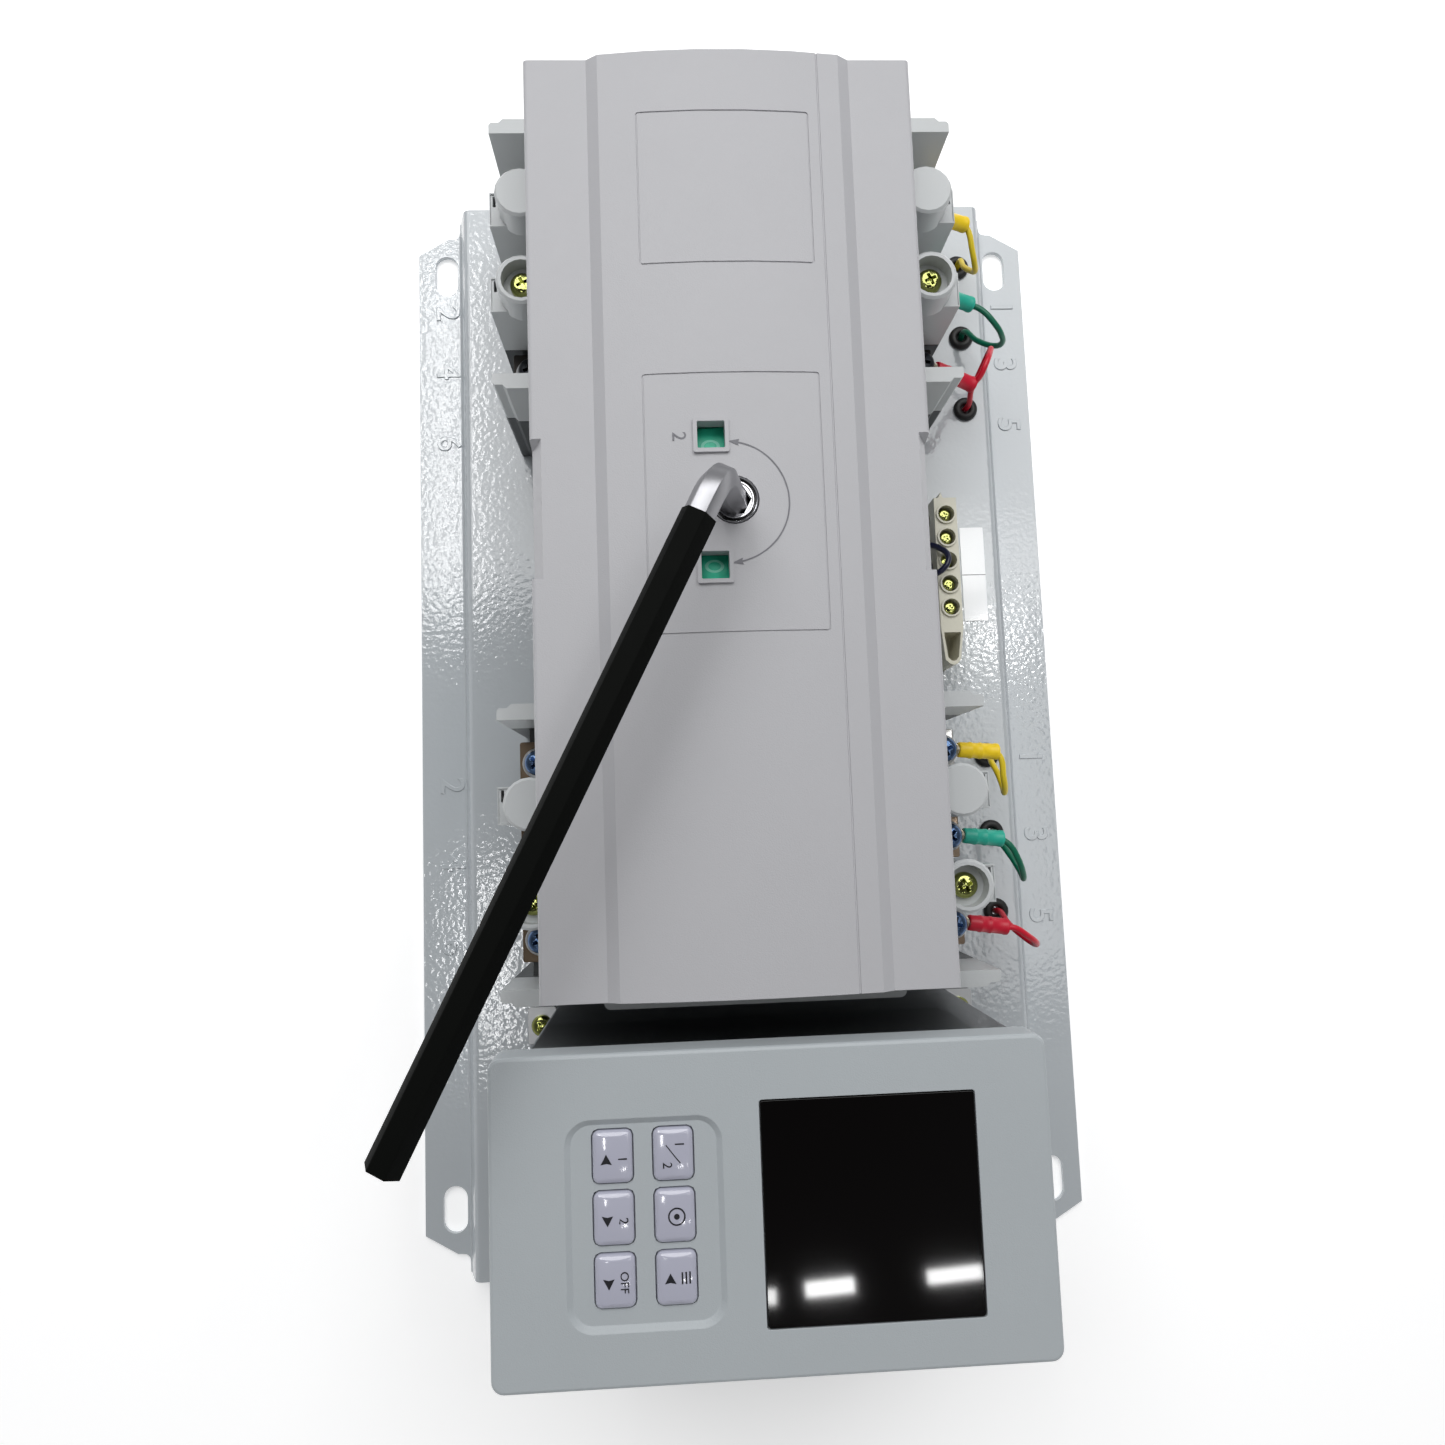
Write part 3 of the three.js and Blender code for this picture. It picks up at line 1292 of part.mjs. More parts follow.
// Each wire's way from the end of its sleeve to its grommet, with y from the breaker's pole.
const wireRoutes = {
  upper: [
    [
      [89.8, 0.3, 42.5], [91.5, -2.6, 42], [92.9, -7.4, 40], [94.7, -11.5, 36.5],
      [96.2, -12.2, 32], [95.9, -9.6, 27.5], [94.6, -5.3, 23],
    ],
    [
      [90, -1.8, 43], [93.8, -4.4, 44], [98.2, -8.9, 43.5], [102.2, -12.3, 40], [104.1, -12.9, 34],
      [102.4, -11, 28.5], [98, -6.7, 24],
    ],
    [
      [88.7, -3.4, 43.5], [90.8, -1.5, 47], [92.7, 2.6, 49], [95.3, 8, 46], [97.1, 11.3, 41.5],
      [97, 10.4, 36.5], [95.6, 6.7, 31.5], [93.8, 2.3, 26],
    ],
  ],
  lower: [
    [
      [87.6, -1, 48.5], [89.2, -3.9, 48.5], [90, -9.2, 47], [91.3, -13.4, 44], [92.4, -15.4, 39.5],
      [93.2, -12.3, 35], [92.7, -7.8, 32], [92.1, -3.4, 27.5],
    ],
    [
      [87.4, -1.7, 48.5], [90.3, -4.2, 49], [92.9, -8.5, 48], [95.4, -13.3, 45],
      [97.1, -16.4, 40.5], [97.6, -14.1, 36], [96.2, -9.5, 32.5], [94.2, -4.4, 28],
    ],
    [
      [87.2, -2.2, 48.5], [90.7, -3, 48.5], [94.8, -5.7, 47.5], [99.2, -8.8, 43.5],
      [100.2, -9.8, 38], [97.9, -7.4, 33], [95, -3.8, 28],
    ],
  ],
};

// A ring lug on the terminal, its sleeve, and the wire to the grommet as one lead.
function senseLead(route, y) {
  const x0 = breaker.x + halfBreaker - terminal.inset;
  const z1 = lugZ + lug.thick;
  const [startX, startY, startZ] = route[0];
  const { inner, outer } = lug;
  const ring = [[inner, lugZ], [outer, lugZ], [outer, z1], [inner, z1], [inner, lugZ]];
  const washer = turned(ring, x0, y, 10);
  const neckX = breaker.x + halfBreaker - terminal.end + 2.2;
  const tongue = box(x0 + lug.inner + 0.6, neckX + PAST, y - 2.2, y + 2.2, lugZ, z1);
  const neckZ = (lugZ + z1) / 2;
  const ends = [[neckX, y, neckZ], [startX, y + startY, startZ]];
  const barrel = tube(ends, wireSleeve.radius, 8, wireSleeve.length);
  const down = [wireEnds.top, (wireEnds.top + wireEnds.low) / 2, wireEnds.low];
  const last = down.map((z) => [grommet.x, y, z]);
  const run = tube([...route.map(([x, dy, z]) => [x, y + dy, z]), ...last], wire.radius);
  return join(washer, tongue, barrel, run);
}

// A rubber grommet in a hole of the plate, as a ring with a groove for the sheet.
function grommetPiece() {
  const { flange, neck, bore, above } = grommet;
  const low = plate.height - plate.sheet - grommet.groove;
  const high = plate.height + grommet.groove;
  return turned(
    [
      [bore, low - above],
      [flange, low],
      [neck, low],
      [neck, high],
      [flange, high],
      [flange - 1.2, high + above],
      [bore, high + above],
      [bore, low - above],
    ],
    0,
    0,
    10,
  );
}

function addWiring() {
  const { yellowWire, greenWire, redWire, blueWire } = finishes;
  const colours = { yellow: yellowWire, green: greenWire, red: redWire };
  const ring = surface(grommetPiece());
  add("neutral_lead", neutralLead(), blueWire);
  add("neutral_grommet", ring, finishes.rubber, placed(...neutralExit, 0));
  for (const [row, y] of Object.entries(breakerRows)) {
    Object.entries(colours).forEach(([colour, material], i) => {
      add(row + "_" + colour + "_lead", senseLead(wireRoutes[row][i], y + poles[i]), material);
      add(row + "_grommet_" + (i + 1), ring, finishes.rubber, placed(grommet.x, y + poles[i], 0));
    });
  }
}

// ---------------------------------------------------------------- the whole product

add("base_plate", basePlate(), finishes.powderCoat);
addBreakers();
addDrive();
add("front_cover", frontCover(), finishes.coverPlastic);
add("socket_ring", ringPiece(), finishes.chrome, placed(drive.x, drive.y, 0));
addHexKey();
addController();
add("neutral_block", neutralBlock(), finishes.ivory);
add("neutral_bar", neutralBar(), finishes.yellowZinc);
addWiring();

export default product;
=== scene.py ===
"""Studio scene of an automatic transfer switch.

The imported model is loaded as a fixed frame. Over it come finer surfaces for the mouldings and
the sheet metal, small fittings, printed and embossed signs, and procedural finishes.
"""

import json
import logging
import math
from dataclasses import dataclass, field
from enum import Enum
from typing import Callable, Iterable, Optional, Sequence

import bmesh
import bpy
from mathutils import Matrix, Vector
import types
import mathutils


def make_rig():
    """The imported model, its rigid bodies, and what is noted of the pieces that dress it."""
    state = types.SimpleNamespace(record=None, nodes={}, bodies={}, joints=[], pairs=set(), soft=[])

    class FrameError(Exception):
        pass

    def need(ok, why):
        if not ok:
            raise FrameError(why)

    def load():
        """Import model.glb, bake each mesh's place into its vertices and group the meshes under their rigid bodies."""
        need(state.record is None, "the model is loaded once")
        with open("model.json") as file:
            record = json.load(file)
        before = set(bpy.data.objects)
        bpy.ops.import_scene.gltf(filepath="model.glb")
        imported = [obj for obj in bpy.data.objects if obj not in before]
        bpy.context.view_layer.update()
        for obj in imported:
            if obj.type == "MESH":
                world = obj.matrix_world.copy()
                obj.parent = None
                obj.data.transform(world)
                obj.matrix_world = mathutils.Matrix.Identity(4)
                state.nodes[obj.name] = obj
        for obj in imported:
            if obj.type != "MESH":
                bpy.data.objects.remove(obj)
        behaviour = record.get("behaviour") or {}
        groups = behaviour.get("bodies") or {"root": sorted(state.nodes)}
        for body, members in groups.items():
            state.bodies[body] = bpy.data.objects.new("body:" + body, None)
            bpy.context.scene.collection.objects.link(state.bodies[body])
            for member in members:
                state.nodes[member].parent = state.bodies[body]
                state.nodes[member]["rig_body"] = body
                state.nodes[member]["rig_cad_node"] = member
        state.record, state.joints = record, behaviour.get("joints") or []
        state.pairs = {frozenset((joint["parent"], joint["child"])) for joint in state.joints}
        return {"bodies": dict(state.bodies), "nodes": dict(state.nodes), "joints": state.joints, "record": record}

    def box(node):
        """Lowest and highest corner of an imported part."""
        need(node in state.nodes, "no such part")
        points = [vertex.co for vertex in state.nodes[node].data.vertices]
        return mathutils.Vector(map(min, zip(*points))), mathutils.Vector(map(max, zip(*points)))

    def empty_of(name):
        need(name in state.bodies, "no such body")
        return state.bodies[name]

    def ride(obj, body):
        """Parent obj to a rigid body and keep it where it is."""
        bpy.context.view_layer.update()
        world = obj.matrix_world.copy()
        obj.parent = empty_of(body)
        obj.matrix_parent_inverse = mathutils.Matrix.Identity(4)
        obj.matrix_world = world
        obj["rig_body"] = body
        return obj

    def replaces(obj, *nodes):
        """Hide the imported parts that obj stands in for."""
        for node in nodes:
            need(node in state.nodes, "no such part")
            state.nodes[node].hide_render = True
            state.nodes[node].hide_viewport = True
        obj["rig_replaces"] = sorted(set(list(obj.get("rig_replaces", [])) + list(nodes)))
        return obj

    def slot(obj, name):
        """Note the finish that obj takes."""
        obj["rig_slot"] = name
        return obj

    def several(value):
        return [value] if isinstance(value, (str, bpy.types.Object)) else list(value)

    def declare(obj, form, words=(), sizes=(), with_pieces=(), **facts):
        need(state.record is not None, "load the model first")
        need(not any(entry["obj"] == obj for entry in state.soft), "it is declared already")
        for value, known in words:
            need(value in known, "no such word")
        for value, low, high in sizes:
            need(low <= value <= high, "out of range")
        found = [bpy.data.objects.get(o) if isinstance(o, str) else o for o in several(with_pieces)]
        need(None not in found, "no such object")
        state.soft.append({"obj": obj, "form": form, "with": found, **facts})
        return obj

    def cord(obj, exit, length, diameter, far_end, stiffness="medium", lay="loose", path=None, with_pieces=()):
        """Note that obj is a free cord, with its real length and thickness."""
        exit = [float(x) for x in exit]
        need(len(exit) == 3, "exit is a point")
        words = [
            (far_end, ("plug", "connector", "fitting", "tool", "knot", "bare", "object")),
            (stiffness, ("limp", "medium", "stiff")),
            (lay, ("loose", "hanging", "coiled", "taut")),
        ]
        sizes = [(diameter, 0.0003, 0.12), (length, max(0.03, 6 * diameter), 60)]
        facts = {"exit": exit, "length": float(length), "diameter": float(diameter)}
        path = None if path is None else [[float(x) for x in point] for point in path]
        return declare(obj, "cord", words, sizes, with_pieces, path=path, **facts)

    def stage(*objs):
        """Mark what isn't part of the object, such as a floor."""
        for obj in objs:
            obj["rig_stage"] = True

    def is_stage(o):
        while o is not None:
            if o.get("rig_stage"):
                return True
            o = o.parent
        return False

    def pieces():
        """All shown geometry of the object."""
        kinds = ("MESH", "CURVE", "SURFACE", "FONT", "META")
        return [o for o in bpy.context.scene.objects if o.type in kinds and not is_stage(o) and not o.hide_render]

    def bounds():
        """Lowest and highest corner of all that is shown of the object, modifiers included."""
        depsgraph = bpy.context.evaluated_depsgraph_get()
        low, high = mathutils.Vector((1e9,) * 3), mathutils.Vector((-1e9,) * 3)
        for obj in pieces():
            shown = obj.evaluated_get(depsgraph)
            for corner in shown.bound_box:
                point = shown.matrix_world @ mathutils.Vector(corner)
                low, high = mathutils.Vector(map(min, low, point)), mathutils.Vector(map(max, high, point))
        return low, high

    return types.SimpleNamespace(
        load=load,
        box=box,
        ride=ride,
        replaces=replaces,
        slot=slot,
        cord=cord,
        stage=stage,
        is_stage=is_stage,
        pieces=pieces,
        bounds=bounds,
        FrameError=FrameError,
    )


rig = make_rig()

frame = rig.load()
LOG = logging.getLogger("transfer_switch")
LOWEST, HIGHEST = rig.bounds()

Point = Sequence[float]
Place = tuple[float, float, float]
Outline = list[tuple[float, float]]
Colour = tuple[float, float, float]
Source = float | tuple[float, ...] | bpy.types.NodeSocket

MM = 0.001  # metres in a millimetre
CHASSIS = "chassis"  # the body that stays where it is
BREAKERS = {"upper": 149.5, "lower": -50.5}  # each breaker's middle along the plate, in millimetres
POLE_PITCH = 30.0  # from pole to pole of a breaker, in millimetres
POLES = 3
SIGN_TURN = -90.0  # the signs' turn about the vertical, in degrees
CAP_HEIGHT = 0.73  # a capital's height as a share of the type's size
SLIVER = 0.0005  # edges shorter than this, in millimetres, are dissolved


def pole_y(row: str, pole: int) -> float:
    """Where a breaker's pole lies along the plate, the uppermost pole being 0."""
    return BREAKERS[row] + (1 - pole) * POLE_PITCH


def write_sizes() -> None:
    """Writes the model's box and the visual model's box, in metres, for comparison."""
    low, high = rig.bounds()
    boxes = {
        "cad": [list(map(float, LOWEST)), list(map(float, HIGHEST))],
        "visual": [list(map(float, low)), list(map(float, high))],
    }
    with open("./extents.json", "w") as sizes:
        json.dump(boxes, sizes)


def place_node(
    tree: bpy.types.NodeTree, kind: str, inputs: dict[str | int, Source], **settings: object
) -> bpy.types.Node:
    """Places a shader node and feeds its inputs.

    Args:
        tree: the tree that it goes into.
        kind: the node's type without its prefix.
        inputs: for an input's name or number, its value or the socket that feeds it.
        settings: the node's own properties.

    Returns:
        The node.
    """
    node = tree.nodes.new("ShaderNode" + kind)
    for label, value in settings.items():
        setattr(node, label, value)
    for label, source in inputs.items():
        if isinstance(source, bpy.types.NodeSocket):
            tree.links.new(source, node.inputs[label])
        else:
            node.inputs[label].default_value = source
    return node


class Effect(Enum):
    """The shader groups that several finishes share."""

    GRAIN = "fine_grain"
    PEEL = "orange_peel"
    MOTTLE = "soft_mottle"
    EDGE = "bare_edge"


class Effects:
    """Builds each shader group once and hands it out."""

    def __init__(self) -> None:
        """Starts with no group built."""
        self._made: dict[Effect, bpy.types.NodeTree] = {}

    def get(self, effect: Effect) -> bpy.types.NodeTree:
        """Hands out the group of an effect, building it at its first use.

        Args:
            effect: which of the shared effects.

        Returns:
            The shader group.
        """
        if effect not in self._made:
            builders: dict[Effect, Callable[[], bpy.types.NodeTree]] = {
                Effect.GRAIN: self._grain, Effect.PEEL: self._peel,
                Effect.MOTTLE: self._mottle, Effect.EDGE: self._edge,
            }
            self._made[effect] = builders[effect]()
        return self._made[effect]

    @staticmethod
    def _begun(
        effect: Effect, **inputs: float
    ) -> tuple[bpy.types.NodeTree, bpy.types.Node, bpy.types.NodeSocket]:
        """Starts a group.

        Args:
            effect: the effect that it is for.
            inputs: the value of each of its inputs until a material gives another.

        Returns:
            The group's tree, its input node and the object's coordinates.
        """
        tree = bpy.data.node_groups.new(effect.value, "ShaderNodeTree")
        for label, value in inputs.items():
            socket = tree.interface.new_socket(label, in_out="INPUT", socket_type="NodeSocketFloat")
            socket.default_value = value
        return tree, tree.nodes.new("NodeGroupInput"), place_node(tree, "TexCoord", {}).outputs["Object"]

    @staticmethod
    def _ended(tree: bpy.types.NodeTree, label: str, source: bpy.types.NodeSocket) -> bpy.types.NodeTree:
        """Gives a group its one output.

        Args:
            tree: the group's tree.
            label: the output's name.
            source: what it puts out.

        Returns:
            The group's tree.
        """
        tree.interface.new_socket(label, in_out="OUTPUT", socket_type="NodeSocketFloat")
        tree.links.new(source, tree.nodes.new("NodeGroupOutput").inputs[label])
        return tree

    def _grain(self) -> bpy.types.NodeTree:
        """Builds the fine pebbled texture of a moulded surface.

        Returns:
            The group, which puts out a height.
        """
        tree, start, spot = self._begun(Effect.GRAIN, Scale=2500.0)
        where = {"Vector": spot, "Scale": start.outputs["Scale"]}
        pebbles = place_node(tree, "TexVoronoi", where | {"Smoothness": 0.6}, feature="SMOOTH_F1")
        speckle = place_node(tree, "TexNoise", where | {"Detail": 3.0})
        parts = {0: pebbles.outputs["Distance"], 1: speckle.outputs["Fac"]}
        return self._ended(tree, "Height", place_node(tree, "Math", parts, operation="ADD").outputs[0])

    def _peel(self) -> bpy.types.NodeTree:
        """Builds the orange peel of a sprayed coat: soft waves with a few finer ones.

        Returns:
            The group, which puts out a height.
        """
        tree, start, spot = self._begun(Effect.PEEL, Scale=420.0)
        where = {"Vector": spot, "Scale": start.outputs["Scale"]}
        waves = place_node(tree, "TexNoise", where | {"Detail": 1.5, "Roughness": 0.4})
        return self._ended(tree, "Height", waves.outputs["Fac"])

    def _mottle(self) -> bpy.types.NodeTree:
        """Builds a broad uneven tone with faint specks.

        Returns:
            The group, which puts out a value about one.
        """
        tree, start, spot = self._begun(Effect.MOTTLE, Scale=35.0, Amount=0.06)
        where = {"Vector": spot, "Scale": start.outputs["Scale"]}
        broad = place_node(tree, "TexNoise", where | {"Detail": 6.0, "Roughness": 0.6})
        centred = place_node(tree, "Math", {0: broad.outputs["Fac"], 1: 0.5}, operation="SUBTRACT")
        terms = {0: centred.outputs[0], 1: start.outputs["Amount"], 2: 1.0}
        scaled = place_node(tree, "Math", terms, operation="MULTIPLY_ADD")
        return self._ended(tree, "Value", scaled.outputs[0])

    def _edge(self) -> bpy.types.NodeTree:
        """Builds a mask for a painted highlight: one along the edges, broken up along them by noise.

        Returns:
            The group, which puts out the mask.
        """
        tree, start, spot = self._begun(Effect.EDGE, Width=0.0006, Scale=900.0)
        blunt = place_node(tree, "Bevel", {"Radius": start.outputs["Width"]}, samples=4)
        normals = {0: blunt.outputs["Normal"], 1: place_node(tree, "NewGeometry", {}).outputs["Normal"]}
        likeness = place_node(tree, "VectorMath", normals, operation="DOT_PRODUCT").outputs["Value"]
        highlight_band = place_node(tree, "MapRange", {"Value": likeness, "From Min": 0.99, "From Max": 0.86})
        where = {"Vector": spot, "Scale": start.outputs["Scale"]}
        patches = place_node(tree, "TexNoise", where | {"Detail": 4.0})
        parts = {0: highlight_band.outputs["Result"], 1: patches.outputs["Fac"]}
        return self._ended(tree, "Mask", place_node(tree, "Math", parts, operation="MULTIPLY").outputs[0])


EFFECTS = Effects()
GRAIN, PEEL = Effect.GRAIN, Effect.PEEL


@dataclass(frozen=True)
class Finish:
    """One surface finish, from its colour and gloss to its texture and a painted highlight on its edges.

    Attributes:
        name: the material's name.
        slot: the record's material slot that the finish belongs to, if any.
        colour: linear base colour.
        roughness: roughness of the surface.
        metallic: 1 for bare metal.
        texture: the shared effect that gives the relief, if any.
        scale: how fine that relief is, in features per metre.
        relief: depth of the relief in millimetres.
        coat: weight of a clear coat.
        mottle: how uneven the tone is.
        gloss_mottle: how uneven the roughness is.
        edge: colour of a painted highlight along the edges, if the finish shows one.
        edge_strength: how far the painted edge highlight takes over.
        gloss: strength of the surface's reflection, half for plain plastic.
    """

    name: str
    slot: str
    colour: Colour
    roughness: float
    metallic: float = 0.0
    texture: Optional[Effect] = None
    scale: float = 2500.0
    relief: float = 0.02
    coat: float = 0.0
    mottle: float = 0.06
    gloss_mottle: float = 0.2
    edge: Optional[Colour] = None
    edge_strength: float = 0.6
    gloss: float = 0.5

    def material(self) -> bpy.types.Material:
        """Hands out the finish's material, building it at its first use.

        Returns:
            The material.
        """
        name = self.name + "_finish"
        if name in bpy.data.materials:
            return bpy.data.materials[name]
        made = bpy.data.materials.new(name)
        made.use_nodes = True
        made.diffuse_color = (*self.colour, 1.0)
        tree = made.node_tree
        inputs = tree.nodes["Principled BSDF"].inputs
        inputs["Metallic"].default_value = self.metallic
        inputs["Coat Weight"].default_value = self.coat
        inputs["Coat Roughness"].default_value = 0.06
        inputs["Specular IOR Level"].default_value = self.gloss
        tree.links.new(self._tinted(tree), inputs["Base Color"])
        sheen = self._effect(tree, Effect.MOTTLE, Scale=150.0, Amount=self.gloss_mottle)
        rough = place_node(tree, "Math", {0: sheen, 1: self.roughness}, operation="MULTIPLY", use_clamp=True)
        tree.links.new(rough.outputs[0], inputs["Roughness"])
        if self.texture:
            relief = self._effect(tree, self.texture, Scale=self.scale)
            bump = place_node(tree, "Bump", {"Distance": self.relief * MM, "Height": relief})
            tree.links.new(bump.outputs["Normal"], inputs["Normal"])
        return made

    def _tinted(self, tree: bpy.types.NodeTree) -> bpy.types.NodeSocket:
        """Mottles the base colour and paints a highlight along its edges.

        Args:
            tree: the material's tree.

        Returns:
            The socket that puts out the colour.
        """
        tone = self._effect(tree, Effect.MOTTLE, Scale=38.0, Amount=self.mottle)
        colour = self._mixed(tree, "MULTIPLY", 1.0, (*self.colour, 1.0), tone)
        if not self.edge:
            return colour
        # Painted highlight: the edge colour is mixed in along the edges.
        terms = {0: self._effect(tree, Effect.EDGE), 1: 2.0 * self.edge_strength}
        strength = place_node(tree, "Math", terms, operation="MULTIPLY", use_clamp=True)
        return self._mixed(tree, "MIX", strength.outputs[0], colour, (*self.edge, 1.0))

    @staticmethod
    def _effect(tree: bpy.types.NodeTree, effect: Effect, **values: float) -> bpy.types.NodeSocket:
        """Places a shared effect with a material's own values and returns what it puts out."""
        return place_node(tree, "Group", values, node_tree=EFFECTS.get(effect)).outputs[0]

    @staticmethod
    def _mixed(
        tree: bpy.types.NodeTree, blend: str, factor: Source, first: Source, second: Source
    ) -> bpy.types.NodeSocket:
        """Mixes two colours and returns the socket of the result."""
        parts = {0: factor, 6: first, 7: second}
        return place_node(tree, "Mix", parts, data_type="RGBA", blend_type=blend).outputs[2]


class Finishes:
    """Every finish on the product."""

    powder = Finish(
        "powder_coat", "powder_coat", (0.525, 0.56, 0.585), 0.085, 0.0, PEEL, 560.0, 0.075, mottle=0.04,
        gloss=0.7,
    )
    front = Finish(
        "front_plastic", "front_plastic", (0.485, 0.485, 0.505), 0.5, 0.0, GRAIN, 2600.0, 0.03, mottle=0.05,
    )
    bezel = Finish(
        "bezel_plastic", "bezel_plastic", (0.445, 0.48, 0.50), 0.5, 0.0, GRAIN, 2800.0, 0.03, mottle=0.05,
    )
    cover = Finish(
        "cover_moulding", "cover_moulding", (0.53, 0.55, 0.555), 0.33, 0.0, PEEL, 900.0, 0.01, mottle=0.05,
    )
    base = Finish("base_moulding", "base_moulding", (0.045, 0.05, 0.052), 0.38, 0.0, PEEL, 900.0, 0.012)
    key = Finish("key_plastic", "key_plastic", (0.48, 0.485, 0.58), 0.1, coat=0.8, mottle=0.03)
    glass = Finish("display_gloss", "black_gloss", (0.0015, 0.001, 0.001), 0.04, mottle=0.0, gloss_mottle=0.1)
    black = Finish("black_plastic", "black_plastic", (0.012, 0.012, 0.012), 0.42, 0.0, GRAIN, 1800.0, 0.012)
    green = Finish("green_plastic", "green_plastic", (0.03, 0.62, 0.38), 0.35, mottle=0.05)
    circuit = Finish("circuit_board", "circuit", (0.01, 0.10, 0.04), 0.3)
    ivory = Finish("ivory_plastic", "ivory_plastic", (0.70, 0.68, 0.56), 0.35, 0.0, PEEL, 900.0, 0.01)
    rubber = Finish("black_rubber", "rubber", (0.008, 0.008, 0.008), 0.5, 0.0, GRAIN, 1500.0, 0.01)
    silver_pad = Finish(
        "silvered_pad", "terminal_copper", (0.72, 0.71, 0.69), 0.3, 1.0, PEEL, 1500.0, 0.01, mottle=0.2,
    )
    # A darker copper for the lower breaker's load pads.
    aged_copper = Finish("aged_copper", "terminal_copper", (0.17, 0.125, 0.085), 0.45, 0.8, mottle=0.4)
    # Upper terminal pads: copper painted near-black as painted shade in the breaker's pockets.
    shaded_copper = Finish("shaded_copper", "terminal_copper", (0.02, 0.017, 0.014), 0.5, 0.5, mottle=0.4)
    copper = Finish(
        "terminal_copper", "terminal_copper", (0.40, 0.30, 0.22), 0.35, 1.0, PEEL, 1500.0, 0.01, mottle=0.45,
    )
    gold = Finish("yellow_zinc", "yellow_zinc", (0.37, 0.39, 0.13), 0.12, 1.0, PEEL, 1300.0, 0.07, mottle=0.7)
    zinc = Finish("blue_zinc", "zinc_steel", (0.10, 0.16, 0.28), 0.22, 1.0, PEEL, 1300.0, 0.07, mottle=0.6)
    # Upper terminal screws: the blue zinc painted near-black as painted shade in the breaker's pockets.
    dark_zinc = Finish("dark_zinc", "zinc_steel", (0.012, 0.015, 0.02), 0.35, 0.6, mottle=0.3)
    tin = Finish("tinned_lug", "steel", (0.66, 0.60, 0.48), 0.25, 1.0, mottle=0.15)
    steel = Finish("machined_steel", "steel", (0.50, 0.51, 0.52), 0.3, 1.0, GRAIN, 4000.0, 0.004)
    sheet = Finish("zinc_sheet", "zinc_steel", (0.60, 0.61, 0.62), 0.35, 1.0, PEEL, 700.0, 0.01)
    # The controller case: its near-black colour is painted shade over the pale zinc sheet that its ear faces show, and
    # its edge colour is a painted highlight.
    dark = Finish(
        "dark_case", "dark_steel", (0.085, 0.09, 0.095), 0.26, 0.7, coat=0.3, edge=(0.75, 0.77, 0.78),
        edge_strength=0.5,
    )
    chrome = Finish("chrome", "chrome", (0.58, 0.58, 0.60), 0.1, 1.0, mottle=0.02)
    brushed = Finish(
        "brushed_chrome", "chrome", (0.33, 0.33, 0.345), 0.36, 1.0, GRAIN, 3500.0, 0.006, mottle=0.1,
    )
    sleeve = Finish(
        "satin_sleeve", "black_plastic", (0.004, 0.0045, 0.004), 0.65, 0.0, GRAIN, 1800.0, 0.01, gloss=0.04,
    )
    print_grey = Finish("print_grey", "", (0.17, 0.17, 0.19), 0.5)
    print_black = Finish("print_black", "", (0.012, 0.012, 0.016), 0.4)
    print_pale = Finish("print_pale", "", (0.25, 0.80, 0.60), 0.45)
    paper = Finish("sticker_white", "", (0.86, 0.88, 0.90), 0.1, coat=0.6)


class Leads(Enum):
    """Insulation of the three leads of each breaker: wire colour and sleeve colour."""

    yellow = (
        Finish("yellow_wire", "yellow_insulation", (0.80, 0.60, 0.02), 0.35),
        Finish("yellow_sleeve", "yellow_insulation", (0.98, 0.68, 0.01), 0.4),
    )
    green = (
        Finish("green_wire", "green_insulation", (0.0, 0.14, 0.075), 0.35),
        Finish("green_sleeve", "green_insulation", (0.02, 0.44, 0.32), 0.4),
    )
    red = (
        Finish("red_wire", "red_insulation", (0.62, 0.004, 0.025), 0.35),
        Finish("red_sleeve", "red_insulation", (0.62, 0.004, 0.03), 0.4),
    )


BLUE_WIRE = Finish("blue_wire", "blue_insulation", (0.002, 0.004, 0.03), 0.3)


def in_scene(name: str, data: bpy.types.ID) -> bpy.types.Object:
    """Puts a mesh, curve, light or camera into the scene.

    Args:
        name: the object's name.
        data: what it shows.

    Returns:
        The object.
    """
    made = bpy.data.objects.new(name, data)
    bpy.context.scene.collection.objects.link(made)
    return made


def declared(piece: bpy.types.Object, body: str, finish: Finish, stands_for: str) -> bpy.types.Object:
    """Says what a piece rides on, which slot it takes and which node it stands for.

    Args:
        piece: the piece.
        body: the CAD body it rides on.
        finish: its finish.
        stands_for: the CAD node that it replaces, or nothing.

    Returns:
        The piece.
    """
    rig.ride(piece, body)
    if finish.slot:
        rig.slot(piece, finish.slot)
    if stands_for:
        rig.replaces(piece, stands_for)
    return piece


def finished(
    name: str, mesh: bpy.types.Mesh, body: str, finish: Finish, smooth: float = 35.0, stands_for: str = ""
) -> bpy.types.Object:
    """Puts a mesh into the scene as a piece of the product.

    Args:
        name: the piece's name.
        mesh: its mesh, already in place in metres.
        body: the CAD body it rides on.
        finish: its finish.
        smooth: faces that meet at less than this angle, in degrees, shade as one.
        stands_for: the CAD node that it replaces, or nothing.

    Returns:
        The piece.
    """
    mesh.materials.clear()
    mesh.materials.append(finish.material())
    mesh.shade_smooth()
    mesh.set_sharp_from_angle(angle=math.radians(smooth))
    return declared(in_scene(name, mesh), body, finish, stands_for)


